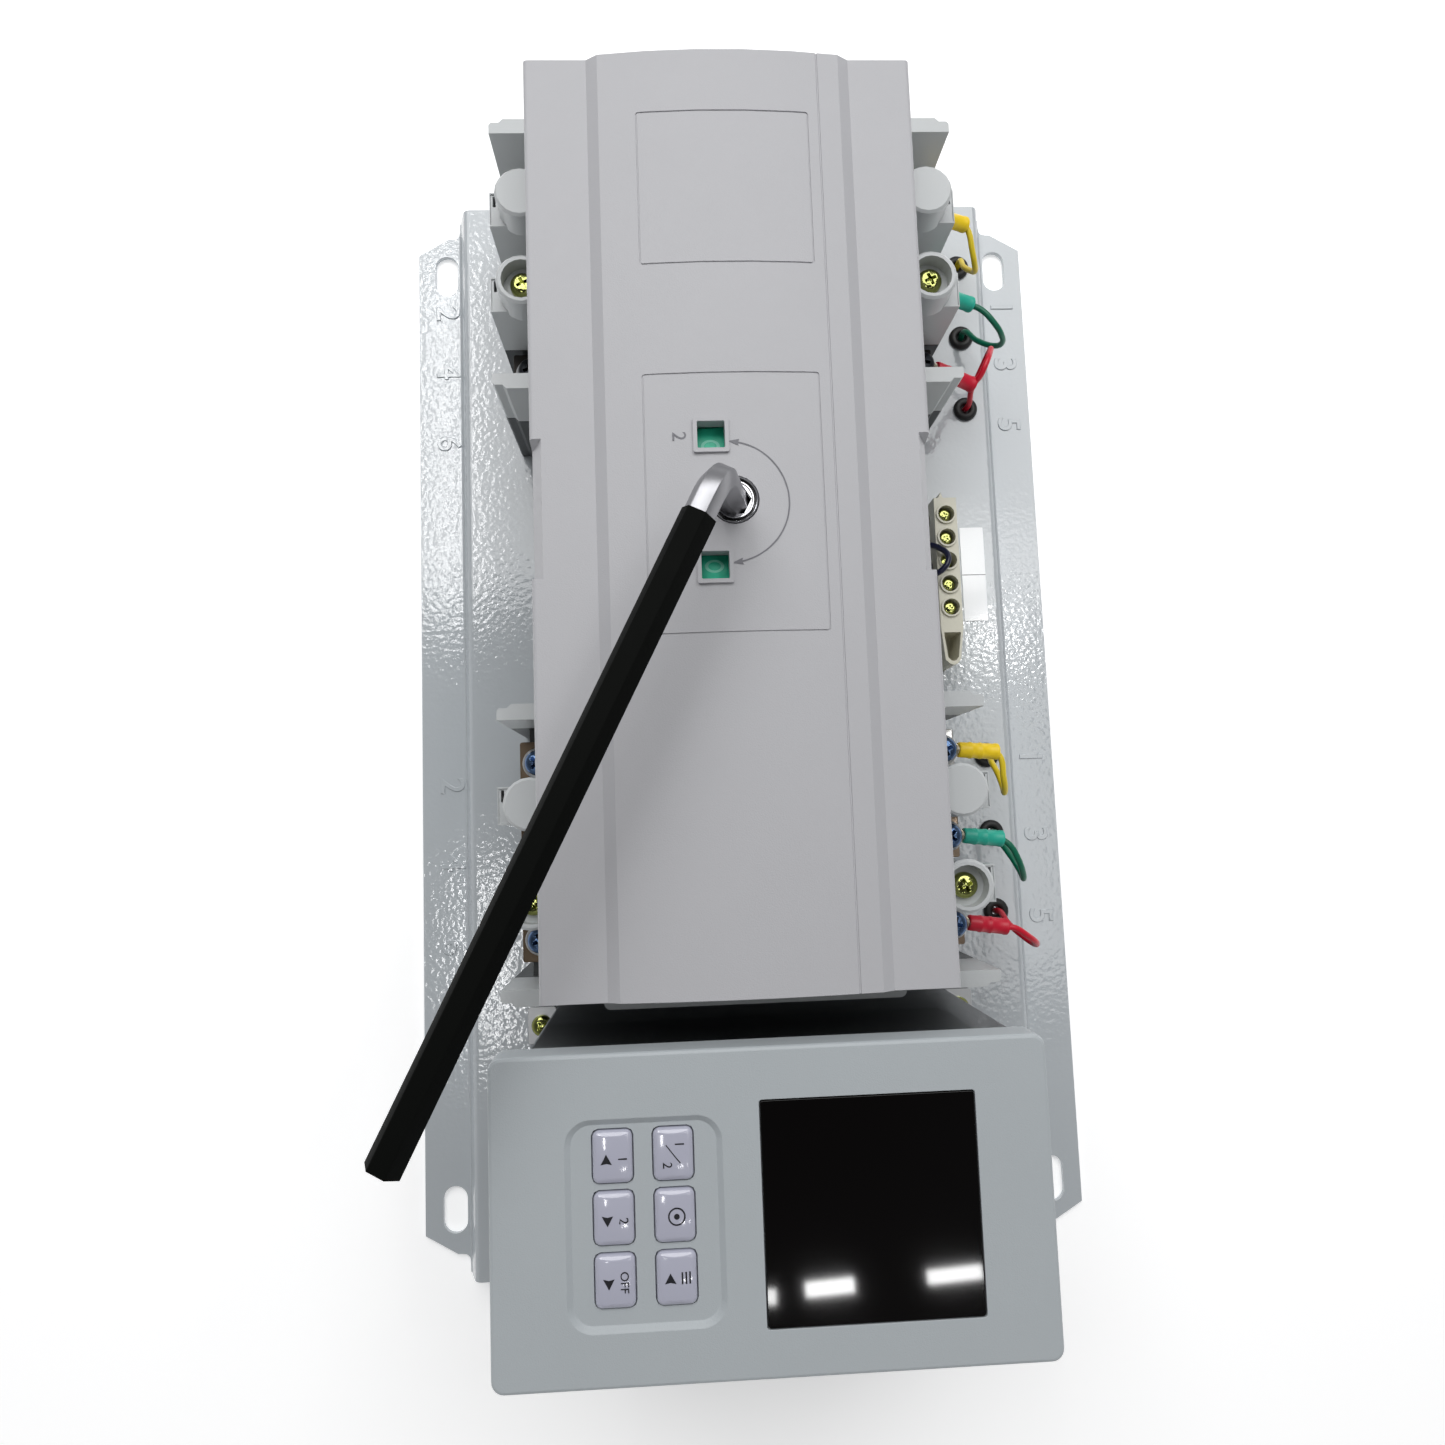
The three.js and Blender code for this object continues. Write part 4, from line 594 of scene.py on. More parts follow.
def round_off(
    work: bmesh.types.BMesh, edges: Iterable[bmesh.types.BMEdge], radius: float, segments: int, **limits: bool
) -> None:
    """Rounds edges of a mesh.

    Args:
        work: the mesh.
        edges: the edges.
        radius: radius in the mesh's own unit.
        segments: steps in the rounding.
        limits: further settings of the bevel.
    """
    bmesh.ops.bevel(
        work, geom=list(edges), offset=radius, segments=segments, profile=0.5, affect="EDGES", material=-1,
        **limits,
    )


def sharp_edges(work: bmesh.types.BMesh, angle: float) -> list[bmesh.types.BMEdge]:
    """The edges where a mesh turns by more than an angle in degrees."""
    return [e for e in work.edges if len(e.link_faces) == 2 and e.calc_face_angle(0.0) > math.radians(angle)]


def corners_of(faces: Iterable[bmesh.types.BMFace]) -> list[bmesh.types.BMVert]:
    """The vertices of some faces, each once."""
    return list({vert for face in faces for vert in face.verts})


def at(x: float, y: float, z: float, turn: float = 0.0) -> Matrix:
    """A place turned about the vertical by an angle in degrees."""
    return Matrix.Translation((x, y, z)) @ Matrix.Rotation(math.radians(turn), 4, "Z")


class Sculpt:
    """A mesh in the making, in millimetres, shaped with bmesh operators."""

    def __init__(self) -> None:
        """Starts with an empty mesh."""
        self.bm = bmesh.new()

    def _sealed(self) -> "Sculpt":
        """Marks every face made so far as done."""
        for face in self.bm.faces:
            face.tag = True
        return self

    def _fresh(self) -> list[bmesh.types.BMFace]:
        """The faces that aren't marked as done."""
        return [face for face in self.bm.faces if not face.tag]

    def block(self, low: Point, high: Point, bevel: float = 0.0, segments: int = 2) -> "Sculpt":
        """Adds a box between two corners, with rounded edges.

        Args:
            low: lowest corner.
            high: highest corner.
            bevel: radius of the edges.
            segments: steps in the rounding.

        Returns:
            The sculpt itself.
        """
        size = [end - start for start, end in zip(low, high)]
        middle = [(start + end) / 2 for start, end in zip(low, high)]
        place = Matrix.Translation(middle) @ Matrix.Diagonal((*size, 1.0))
        made = bmesh.ops.create_cube(self.bm, size=1.0, matrix=place)["verts"]
        if bevel > 0:
            round_off(self.bm, {edge for vert in made for edge in vert.link_edges}, bevel, segments)
        return self._sealed()

    def turned(
        self, profile: Sequence[Point], foot: Point = (0, 0, 0), axis: Point = (0, 0, 1), steps: int = 48
    ) -> "Sculpt":
        """Adds a solid of revolution.

        Args:
            profile: radius and height of each point, from the lower end to the upper.
            foot: where the profile's height starts.
            axis: direction of the height.
            steps: sides round the axis.

        Returns:
            The sculpt itself.
        """
        verts = [self.bm.verts.new((r, 0.0, z)) for r, z in profile]
        edges = [self.bm.edges.new(pair) for pair in zip(verts, verts[1:])]
        bmesh.ops.spin(
            self.bm, geom=verts + edges, cent=(0, 0, 0), axis=(0, 0, 1), angle=2 * math.pi, steps=steps,
            use_merge=True,
        )
        bmesh.ops.remove_doubles(self.bm, verts=corners_of(self._fresh()), dist=1e-4)
        faces = self._fresh()
        bmesh.ops.recalc_face_normals(self.bm, faces=faces)
        turn = Vector((0, 0, 1)).rotation_difference(Vector(axis)).to_matrix().to_4x4()
        bmesh.ops.transform(self.bm, matrix=Matrix.Translation(foot) @ turn, verts=corners_of(faces))
        return self._sealed()

    def plate(
        self, outline: Sequence[Point], low: float, high: float, bevel: float = 0.0, segments: int = 2
    ) -> "Sculpt":
        """Adds a flat outline drawn up from one height to another.

        Args:
            outline: x and y of each corner, counter-clockwise.
            low: height of the lower face.
            high: height of the upper face.
            bevel: radius of the upper edge.
            segments: steps in the rounding.

        Returns:
            The sculpt itself.
        """
        face = self.bm.faces.new([self.bm.verts.new((x, y, low)) for x, y in outline])
        up = bmesh.ops.extrude_face_region(self.bm, geom=[face])["geom"]
        top = [v for v in up if isinstance(v, bmesh.types.BMVert)]
        bmesh.ops.translate(self.bm, vec=(0, 0, high - low), verts=top)
        bmesh.ops.recalc_face_normals(self.bm, faces=self._fresh())
        if bevel > 0:
            rim = {e for vert in top for e in vert.link_edges if e.other_vert(vert) in top}
            round_off(self.bm, rim, bevel, segments)
        return self._sealed()

    def bow(
        self, centre: Point, radius: float, size: Point, start: float, end: float, steps: int
    ) -> "Sculpt":
        """Adds a flat bar bent on an arc about a vertical axis.

        Args:
            centre: x, y and lower height of the arc's centre.
            radius: radius of the bar's middle.
            size: the bar's width and thickness.
            start: first angle in degrees.
            end: last angle in degrees.
            steps: steps in the bend.

        Returns:
            The sculpt itself.
        """
        width, thick = size
        inner, outer = radius - width / 2, radius + width / 2
        section = [(inner, 0), (outer, 0), (outer, thick), (inner, thick)]
        verts = [self.bm.verts.new((r, 0.0, z)) for r, z in section]
        face = self.bm.faces.new(verts)
        bmesh.ops.transform(self.bm, matrix=at(*centre, start), verts=verts)
        bmesh.ops.spin(
            self.bm, geom=[face], cent=centre, axis=(0, 0, 1), angle=math.radians(end - start), steps=steps
        )
        edges = {edge for face in self._fresh() for edge in face.edges}
        bmesh.ops.holes_fill(self.bm, edges=[edge for edge in edges if edge.is_boundary])
        bmesh.ops.recalc_face_normals(self.bm, faces=self._fresh())
        return self._sealed()

    def placed(self, matrix: Matrix) -> "Sculpt":
        """Moves everything made so far by a matrix."""
        bmesh.ops.transform(self.bm, matrix=matrix, verts=self.bm.verts)
        return self

    def sliced(self, place: Point, normal: Point) -> "Sculpt":
        """Cuts every face along a plane, so that it can be bent there.

        Args:
            place: a point on the plane.
            normal: the direction square to it.

        Returns:
            The sculpt itself.
        """
        everything = self.bm.verts[:] + self.bm.edges[:] + self.bm.faces[:]
        bmesh.ops.bisect_plane(self.bm, geom=everything, dist=1e-4, plane_co=place, plane_no=normal)
        return self._sealed()

    def draped(self, height: Callable[[float, float], float], above: float = -math.inf) -> "Sculpt":
        """Raises points by a height that depends on where they are.

        Args:
            height: for a point's x and y, how far it rises.
            above: only points higher than this rise.

        Returns:
            The sculpt itself.
        """
        for vert in self.bm.verts:
            if vert.co.z > above:
                vert.co.z += height(vert.co.x, vert.co.y)
        return self

    def adding(self, other: "Sculpt", place: Matrix) -> "Sculpt":
        """Adds a copy of another sculpt.

        Args:
            other: the sculpt to copy.
            place: the matrix that puts the copy in place.

        Returns:
            The sculpt itself.
        """
        mesh = bpy.data.meshes.new("copy")
        other.bm.to_mesh(mesh)
        mesh.transform(place)
        self.bm.from_mesh(mesh)
        bpy.data.meshes.remove(mesh)
        return self._sealed()

    def carved(self, *tools: "Sculpt") -> "Sculpt":
        """Cuts tools out of the sculpt.

        Args:
            tools: the shapes to take away, one after another.

        Returns:
            A new sculpt.
        """
        solid, *cutters = [shape._held() for shape in (self, *tools)]
        for cutter in cutters:
            cut = solid.modifiers.new("cut", "BOOLEAN")
            cut.operation = "DIFFERENCE"
            cut.solver = "EXACT"
            cut.object = cutter
        mesh = mesh_of(solid)
        made = Sculpt()
        made.bm.from_mesh(mesh)
        bmesh.ops.dissolve_degenerate(made.bm, dist=SLIVER, edges=made.bm.edges)
        bpy.data.meshes.remove(mesh)
        for holder in (solid, *cutters):
            bpy.data.meshes.remove(holder.data)
        return made._sealed()

    def _held(self) -> bpy.types.Object:
        """Puts the sculpt in an object for a moment, so that a modifier can work on it.

        Returns:
            The object.
        """
        mesh = bpy.data.meshes.new("holder")
        self.bm.to_mesh(mesh)
        return in_scene("holder", mesh)

    def piece(
        self, name: str, body: str, finish: Finish, smooth: float = 35.0, stands_for: str = ""
    ) -> bpy.types.Object:
        """Ends the sculpt as a piece of the product.

        Args:
            name: the piece's name.
            body: the CAD body it rides on.
            finish: its finish.
            smooth: faces that meet at less than this angle, in degrees, shade as one.
            stands_for: the CAD node that it replaces, or nothing.

        Returns:
            The piece.
        """
        mesh = bpy.data.meshes.new(name)
        self.placed(Matrix.Scale(MM, 4)).bm.to_mesh(mesh)
        self.bm.free()
        return finished(name, mesh, body, finish, smooth, stands_for)


def mesh_of(holder: bpy.types.Object) -> bpy.types.Mesh:
    """The mesh that an object shows once its modifiers or its curve are worked out."""
    bpy.context.view_layer.update()
    return bpy.data.meshes.new_from_object(holder.evaluated_get(bpy.context.evaluated_depsgraph_get()))


def dress(finish: Finish, *nodes: str) -> None:
    """Gives carried-over nodes a finish.

    Args:
        finish: the finish.
        nodes: the CAD nodes.
    """
    for node in nodes:
        mesh = frame["nodes"][node].data
        mesh.materials.clear()
        mesh.materials.append(finish.material())


def body_of(node: str) -> str:
    """The body that a node belongs to."""
    return frame["nodes"][node]["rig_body"]


def merged(node: str) -> bmesh.types.BMesh:
    """Copies a node's mesh, with its loose triangles joined and its flat faces whole.

    Args:
        node: the CAD node.

    Returns:
        The copy, in metres.
    """
    work = bmesh.new()
    work.from_mesh(frame["nodes"][node].data)
    bmesh.ops.remove_doubles(work, verts=work.verts, dist=2e-6)
    bmesh.ops.dissolve_limit(work, angle_limit=math.radians(0.5), verts=work.verts, edges=work.edges)
    return work


def soften(
    work: bmesh.types.BMesh, edges: Iterable[bmesh.types.BMEdge], radius: float, segments: int
) -> None:
    """Rounds edges by a radius in millimetres, as far as there is room."""
    round_off(work, edges, radius * MM, segments, clamp_overlap=True, loop_slide=True)


def finished_copy(work: bmesh.types.BMesh, node: str, finish: Finish) -> bpy.types.Object:
    """Ends a reworked copy of a node as a piece that stands for it and rides where it does.

    Args:
        work: the copy, in metres.
        node: the CAD node.
        finish: the piece's finish.

    Returns:
        The piece.
    """
    bmesh.ops.dissolve_degenerate(work, dist=SLIVER * MM, edges=work.edges)
    mesh = bpy.data.meshes.new(node + "_fine")
    work.to_mesh(mesh)
    work.free()
    piece = finished(node + "_fine", mesh, body_of(node), finish, stands_for=node)
    piece.modifiers.new("even_shading", "WEIGHTED_NORMAL").keep_sharp = True
    return piece


def refined(node: str, finish: Finish, bevel: float, segments: int = 2, sharp: float = 22.0) -> None:
    """Makes a finer copy of a node, with its sharp edges rounded, that stands for it.

    Args:
        node: the CAD node.
        finish: the copy's finish.
        bevel: radius of the edges in millimetres.
        segments: steps in the rounding.
        sharp: edges that turn by more than this angle, in degrees, are rounded.
    """
    work = merged(node)
    soften(work, sharp_edges(work, sharp), bevel, segments)
    finished_copy(work, node, finish)


def lettering(
    name: str, text: str, size: float, place: Matrix, depth: float, body: str, finish: Finish,
    soft: float = 0.0,
) -> None:
    """Makes a generic sign as flat raised print.

    Args:
        name: the piece's name.
        text: the characters.
        size: their height in millimetres.
        place: where the middle of the text lies and how it is turned, in millimetres.
        depth: how thick the print is in millimetres.
        body: the CAD body it rides on.
        finish: its finish.
        soft: how far its edges are rounded.
    """
    curve = bpy.data.curves.new(name, "FONT")
    curve.body = text
    curve.size = size / CAP_HEIGHT
    curve.align_x = "CENTER"
    curve.align_y = "CENTER"
    curve.extrude = depth / 2
    curve.bevel_depth = soft
    curve.bevel_resolution = 2
    curve.resolution_u = 4
    holder = in_scene(name, curve)
    mesh = mesh_of(holder)
    bpy.data.objects.remove(holder)
    mesh.transform(Matrix.Scale(MM, 4) @ place)
    finished(name, mesh, body, finish)


def arc_points(centre: Point, radius: float, start: float, end: float, steps: int) -> Outline:
    """Points on an arc.

    Args:
        centre: x and y of its centre.
        radius: its radius.
        start: first angle in degrees.
        end: last angle in degrees.
        steps: steps from the one to the other.

    Returns:
        One point more than there are steps.
    """
    angles = [math.radians(start + (end - start) * i / steps) for i in range(steps + 1)]
    return [(centre[0] + radius * math.cos(a), centre[1] + radius * math.sin(a)) for a in angles]


def rounded(low: Point, high: Point, radius: float, steps: int = 6) -> Outline:
    """The outline of a rectangle with rounded corners.

    Args:
        low: x and y of its lowest corner.
        high: x and y of its highest corner.
        radius: radius of the corners.
        steps: steps in each corner.

    Returns:
        The outline, counter-clockwise.
    """
    left, right = low[0] + radius, high[0] - radius
    bottom, top = low[1] + radius, high[1] - radius
    corners = [((right, bottom), -90), ((right, top), 0), ((left, top), 90), ((left, bottom), 180)]
    return [p for centre, start in corners for p in arc_points(centre, radius, start, start + 90, steps)]


def about(x: float, y: float, half_x: float, half_y: float, radius: float, steps: int = 6) -> Outline:
    """The outline of a rounded rectangle about a middle, from half its sides."""
    return rounded((x - half_x, y - half_y), (x + half_x, y + half_y), radius, steps)


def dart(length: float, width: float, notch: float = 0.12) -> Outline:
    """The outline of a notched arrowhead that points along +X from the origin."""
    back, wing = -length / 2, width / 2
    return [(-back, 0.0), (back, wing), (back + length * notch, 0.0), (back, -wing)]


def strip(half_x: float, half_y: float) -> Outline:
    """The outline of a rectangle about the origin, from half its sides."""
    return [(-half_x, -half_y), (half_x, -half_y), (half_x, half_y), (-half_x, half_y)]


def moved(outline: Sequence[Point], x: float, y: float, turn: float = 0.0) -> Outline:
    """An outline turned by an angle in degrees and set down at a place."""
    place = at(x, y, 0.0, turn)
    return [tuple(place @ Vector((u, v, 0.0)))[:2] for u, v in outline]


def tube(
    name: str, route: Sequence[Point], radius: float, body: str, finish: Finish, stands_for: str
) -> bpy.types.Object:
    """Makes a round tube along a smooth curve.

    Args:
        name: the piece's name.
        route: points on the way in millimetres.
        radius: radius of the tube in millimetres.
        body: the CAD body it rides on.
        finish: its finish.
        stands_for: the CAD node that it replaces.

    Returns:
        The piece.
    """
    curve = bpy.data.curves.new(name, "CURVE")
    curve.dimensions = "3D"
    curve.bevel_depth = radius * MM
    curve.bevel_resolution = 4
    curve.resolution_u = 6
    curve.use_fill_caps = True
    spline = curve.splines.new("BEZIER")
    spline.bezier_points.add(len(route) - 1)
    for knot, point in zip(spline.bezier_points, route):
        knot.co = Vector(point) * MM
        knot.handle_left_type = knot.handle_right_type = "AUTO"
    curve.materials.append(finish.material())
    return declared(in_scene(name, curve), body, finish, stands_for)


@dataclass(frozen=True)
class PhillipsScrew:
    """The visible head of a cross-recessed screw.

    Attributes:
        radius: radius of the head in millimetres.
        height: height of the head.
        reach: from the middle to the end of a recess arm.
        slot: width of a recess arm.
        depth: depth of the recess.
        dome: how much of the height is rounded.
    """

    radius: float
    height: float
    reach: float
    slot: float
    depth: float
    dome: float = 0.55

    def sculpt(self) -> Sculpt:
        """Makes the head with its foot at the origin.

        Returns:
            The sculpt.
        """
        r, h, d = self.radius, self.height, self.dome * self.height
        crown = [(1, 1), (0.97, 0.6), (0.86, 0.25), (0.62, 0.05), (0, 0)]
        head = Sculpt().turned([(0, 0), (r, 0)] + [(r * out, h - d * down) for out, down in crown], steps=40)
        return head.carved(self._blade(0.0), self._blade(90.0))

    def _blade(self, turn: float) -> Sculpt:
        """Makes one arm pair of the recess, narrower at its bottom.

        Args:
            turn: its direction in degrees.

        Returns:
            The shape to cut away.
        """
        low, high = self.height - self.depth, self.height + 0.5
        blade = Sculpt().block((-self.reach, -self.slot / 2, low), (self.reach, self.slot / 2, high))
        for vert in blade.bm.verts:
            if vert.co.z < (low + high) / 2:
                vert.co.x *= 0.35
                vert.co.y *= 0.7
        return blade.placed(Matrix.Rotation(math.radians(turn), 4, "Z"))


@dataclass(frozen=True)
class Lamp:
    """A flat studio light.

    Attributes:
        name: the lamp's name.
        place: where it hangs, in metres.
        size: its width and depth in metres.
        power: watts.
        target: the point it looks at, or None where it faces straight down.
        turn: its turn about the vertical in degrees.
        round: whether it is a disc.
    """

    name: str
    place: Place
    size: tuple[float, float]
    power: float
    target: Optional[Place] = None
    turn: float = 0.0
    round: bool = False

    def build(self) -> None:
        """Makes the lamp."""
        data = bpy.data.lights.new(self.name, "AREA")
        data.shape = "DISK" if self.round else "RECTANGLE"
        data.size, data.size_y = self.size
        data.energy = self.power
        if self.target:
            way = Vector(self.target) - Vector(self.place)
            turned = Matrix.Translation(self.place) @ way.to_track_quat("-Z", "Y").to_matrix().to_4x4()
        else:
            turned = at(*self.place, self.turn)
        in_scene(self.name, data).matrix_world = turned


@dataclass
class Studio:
    """Camera, floor and soft lights.

    Attributes:
        eye: where the camera stands, in metres.
        right: the direction to its right, before it is made square to the back.
        back: the direction behind it.
        lens: focal length in millimetres.
        sensor: width of the sensor in millimetres.
        floor: half the floor's side and how far it lies under the product, in metres.
        lamps: the lights.
    """

    eye: Place = (-0.0265, -0.0435, 0.405)
    right: Place = (0.99838, -0.0356, 0.0445)
    back: Place = (-0.0478, -0.0987, 0.9940)
    lens: float = 25.4
    sensor: float = 36.0
    floor: tuple[float, float] = (4.0, 0.0005)
    lamps: tuple[Lamp, ...] = (
        Lamp("overhead", (0.0, 0.75, 1.2), (1.6, 0.9), 15.0, (0.0, 0.0, 0.0)),
        Lamp("left_strip", (-0.55, 0.92, 2.0), (0.09, 0.96), 2.5),
        Lamp("left_strip_low", (-0.46, -0.33, 2.0), (0.06, 0.40), 1.2),
        Lamp("spot_right", (0.757, 0.383, 2.0), (0.10, 0.10), 0.6, round=True),
        Lamp("right_softbox", (0.78, 0.1, 2.0), (0.30, 1.1), 2.4),
        Lamp("display_bar_left", (0.254, -0.985, 2.0), (0.10, 0.03), 0.3, turn=3.0),
        Lamp("display_bar_right", (0.511, -0.974, 2.0), (0.114, 0.028), 0.3, turn=3.0),
        Lamp("display_spot", (0.134, -0.997, 2.0), (0.02, 0.03), 0.05),
    )

    def build(self) -> None:
        """Makes the camera, the floor, the world and the lights."""
        bpy.context.scene.view_settings.view_transform = "Standard"
        self._camera()
        self._floor()
        self._world()
        for lamp in self.lamps:
            lamp.build()

    def _camera(self) -> None:
        """Makes the camera, level with the product's slight turn."""
        back = Vector(self.back).normalized()
        right = (Vector(self.right) - back * Vector(self.right).dot(back)).normalized()
        data = bpy.data.cameras.new("camera")
        data.lens = self.lens
        data.sensor_width = self.sensor
        data.clip_start = 0.01
        camera = in_scene("camera", data)
        turn = Matrix((right, back.cross(right), back)).transposed().to_4x4()
        camera.matrix_world = Matrix.Translation(self.eye) @ turn
        bpy.context.scene.camera = camera

    def _floor(self) -> None:
        """Makes the pale floor under the product."""
        half, drop = self.floor
        work = bmesh.new()
        bmesh.ops.create_grid(
            work, x_segments=1, y_segments=1, size=half, matrix=Matrix.Translation((0, 0, -drop))
        )
        mesh = bpy.data.meshes.new("floor")
        work.to_mesh(mesh)
        work.free()
        paper = Finish("floor_paper", "", (0.95, 0.95, 0.95), 0.8, mottle=0.0).material()
        inputs = paper.node_tree.nodes["Principled BSDF"].inputs
        inputs["Emission Color"].default_value = (1.0, 1.0, 1.0, 1.0)
        inputs["Emission Strength"].default_value = 0.35
        mesh.materials.append(paper)
        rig.stage(in_scene("floor", mesh))

    @staticmethod
    def _world() -> None:
        """Sets a surrounding light that is pale at the horizon and dim overhead."""
        world = bpy.data.worlds.new("studio")
        bpy.context.scene.world = world
        world.use_nodes = True
        tree = world.node_tree
        background = tree.nodes["Background"]
        background.inputs["Color"].default_value = (0.97, 0.98, 1.0, 1.0)
        sky = place_node(tree, "TexCoord", {}).outputs["Generated"]
        height = place_node(tree, "SeparateXYZ", {"Vector": sky}).outputs["Z"]
        levels = {"Value": height, "From Min": 0.0, "From Max": 1.0, "To Min": 0.5, "To Max": 0.03}
        fade = place_node(tree, "MapRange", levels)
        tree.links.new(fade.outputs["Result"], background.inputs["Strength"])


# The leads' points from their sleeves down to the grommets: x and height on the plate, and y from the pole's middle.
LEAD_ROUTES: dict[str, list[list[Place]]] = {
    "upper": [
        [(89.8, 0.3, 42.5), (91.5, -2.6, 42), (92.9, -7.4, 40), (94.7, -11.5, 36.5), (96.2, -12.2, 32),
         (95.9, -9.6, 27.5), (94.6, -5.3, 23)],
        [(90, -1.8, 43), (93.8, -4.4, 44), (98.2, -8.9, 43.5), (102.2, -12.3, 40), (104.1, -12.9, 34),
         (102.4, -11, 28.5), (98, -6.7, 24)],
        [(88.7, -3.4, 43.5), (90.8, -1.5, 47), (92.7, 2.6, 49), (95.3, 8, 46), (97.1, 11.3, 41.5),
         (97, 10.4, 36.5), (95.6, 6.7, 31.5), (93.8, 2.3, 26)],
    ],
    "lower": [
        [(87.6, -1, 48.5), (89.2, -3.9, 48.5), (90, -9.2, 47), (91.3, -13.4, 44), (92.4, -15.4, 39.5),
         (93.2, -12.3, 35), (92.7, -7.8, 32), (92.1, -3.4, 27.5)],
        [(87.4, -1.7, 48.5), (90.3, -4.2, 49), (92.9, -8.5, 48), (95.4, -13.3, 45), (97.1, -16.4, 40.5),
         (97.6, -14.1, 36), (96.2, -9.5, 32.5), (94.2, -4.4, 28)],
        [(87.2, -2.2, 48.5), (90.7, -3, 48.5), (94.8, -5.7, 47.5), (99.2, -8.8, 43.5), (100.2, -9.8, 38),
         (97.9, -7.4, 33), (95, -3.8, 28)],
    ],
}
NEUTRAL_ROUTE: list[Place] = [
    (77.3, 52.6, 22.3), (73.7, 52.6, 22.3), (69.9, 50.6, 24.2), (68.6, 47.6, 28.8), (71.2, 46.2, 34.2),
    (75.6, 48, 37.2), (77.8, 52.4, 36.8), (75.6, 56.8, 33.6), (71, 59.4, 28.4), (67.4, 58.6, 22),
    (66, 57, 16), (66, 57, 11), (66, 57, 5),
]


@dataclass
class Wiring:
    """The six sense leads and the neutral lead, from their lugs to the grommets.

    Attributes:
        radius: radius of the wire in millimetres.
        sleeve: radius of the sleeve on a lug.
        column: x of the six leads' grommets.
        drop: heights of each lead's last points over its grommet.
        neck: x and height of the sleeves' narrow ends.
        ring_x: x of the middle of the lugs' rings.
        seat: height of the lugs' undersides.
        thick: thickness of a lug.
    """

    radius: float = 1.1
    sleeve: float = 2.95
    column: float = 95.0
    drop: tuple[float, ...] = (18, 11.5, 5)
    neck: tuple[float, float] = (72.8, 50.7)
    ring_x: float = 67.4
    seat: float = 50.25
    thick: float = 0.9

    def build(self) -> None:
        """Makes all leads and grommets."""
        for row in BREAKERS:
            for i, lead in enumerate(Leads):
                y = pole_y(row, i)
                route = [(x, y + dy, z) for x, dy, z in LEAD_ROUTES[row][i]]
                self._lead(f"{row}_{lead.name}", lead, route + [(self.column, y, z) for z in self.drop], y)
                self._grommet(f"{row}_grommet_{i + 1}", self.column, y)
        wire = tube("neutral_wire", NEUTRAL_ROUTE, self.radius, CHASSIS, BLUE_WIRE, "neutral_lead")
        self._declare(wire, NEUTRAL_ROUTE[0])
        self._grommet("neutral_grommet", *NEUTRAL_ROUTE[-1][:2])

    def _lead(self, name: str, lead: Leads, route: Sequence[Point], y: float) -> None:
        """Makes one lead: wire, sleeve and ring lug.

        Args:
            name: the lead's name.
            lead: its insulation.
            route: points on the wire's way in millimetres.
            y: the pole's middle.
        """
        wire, sleeve = lead.value
        run = tube(f"{name}_wire", route, self.radius, CHASSIS, wire, f"{name}_lead")
        neck = Vector((self.neck[0], y, self.neck[1]))
        way = Vector(route[0]) - neck
        boot = Sculpt().turned(self._sleeve_profile(way.length), neck, way, 36)
        cover = boot.piece(f"{name}_sleeve", CHASSIS, sleeve, 50.0)
        lug = Sculpt().turned([(0, -1.4), (1.5, -1.4), (1.75, -1.1), (1.75, 1.2), (0, 1.2)], neck, way, 24)
        top = self.thick
        lug.plate(about(self.neck[0] - 0.5, y, 1.1, 2.0, 0.6, 3), self.seat, self.seat + top, 0.2)
        lug.turned(
            [(3.4, 0), (5.2, 0), (5.2, top - 0.1), (5.1, top), (3.5, top), (3.4, top - 0.1), (3.4, 0)],
            (self.ring_x, y, self.seat), steps=40,
        )
        self._declare(run, route[0], (cover, lug.piece(f"{name}_lug", CHASSIS, Finishes.tin)))

    def _sleeve_profile(self, length: float) -> Outline:
        """A sleeve's profile, with its two ribs and the lip that the wire leaves.

        Args:
            length: from the sleeve's neck to its lip.

        Returns:
            Radius and height of each point.
        """
        s = self.sleeve
        rib = [(s - 0.2, 0.0), (s, 0.03), (s, 0.07), (s - 0.2, 0.1)]
        ribs = [(r, length * (foot + rise)) for foot in (0.27, 0.52) for r, rise in rib]
        lip = [(s - 0.15, -1.2), (s, -1.0), (s - 0.05, 0.1), (s - 0.5, 0.35), (self.radius, 0.1), (0, -0.4)]
        return [(0, 0.4), (s - 0.5, 0.4), (s - 0.25, 0.8)] + ribs + [(r, length + past) for r, past in lip]

    def _declare(self, wire: bpy.types.Object, start: Point, on_it: Sequence[bpy.types.Object] = ()) -> None:
        """Declares a wire as a limp cord that goes back into the product.

        Args:
            wire: the wire's piece.
            start: where it leaves its lug or its terminal, in millimetres.
            on_it: the pieces that sit on it.
        """
        length = wire.data.splines[0].calc_length()
        LOG.info("%s: %.1f mm long", wire.name, length / MM)
        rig.cord(
            wire, Vector(start) * MM, length, 2 * self.radius * MM, "object", "limp", "loose",
            with_pieces=on_it,
        )

    @staticmethod
    def _grommet(name: str, x: float, y: float) -> None:
        """Makes a rubber grommet round a lead's hole.

        Args:
            name: the CAD node it stands for.
            x: the hole's x.
            y: the hole's y.
        """
        ring = Sculpt().turned(
            [(1.7, 7.75), (3.9, 7.75), (4.6, 8.2), (4.8, 9.1), (4.6, 9.8), (3.5, 10.0), (3.5, 12.05),
             (4.6, 12.1), (4.8, 12.7), (4.65, 13.4), (4.1, 14.0), (3.2, 14.25), (2.3, 14.15), (1.85, 13.7),
             (1.7, 12.9), (1.7, 7.75)],
            (x, y, 0.0), steps=40,
        )
        ring.piece(name + "_rubber", CHASSIS, Finishes.rubber, 60.0, name)


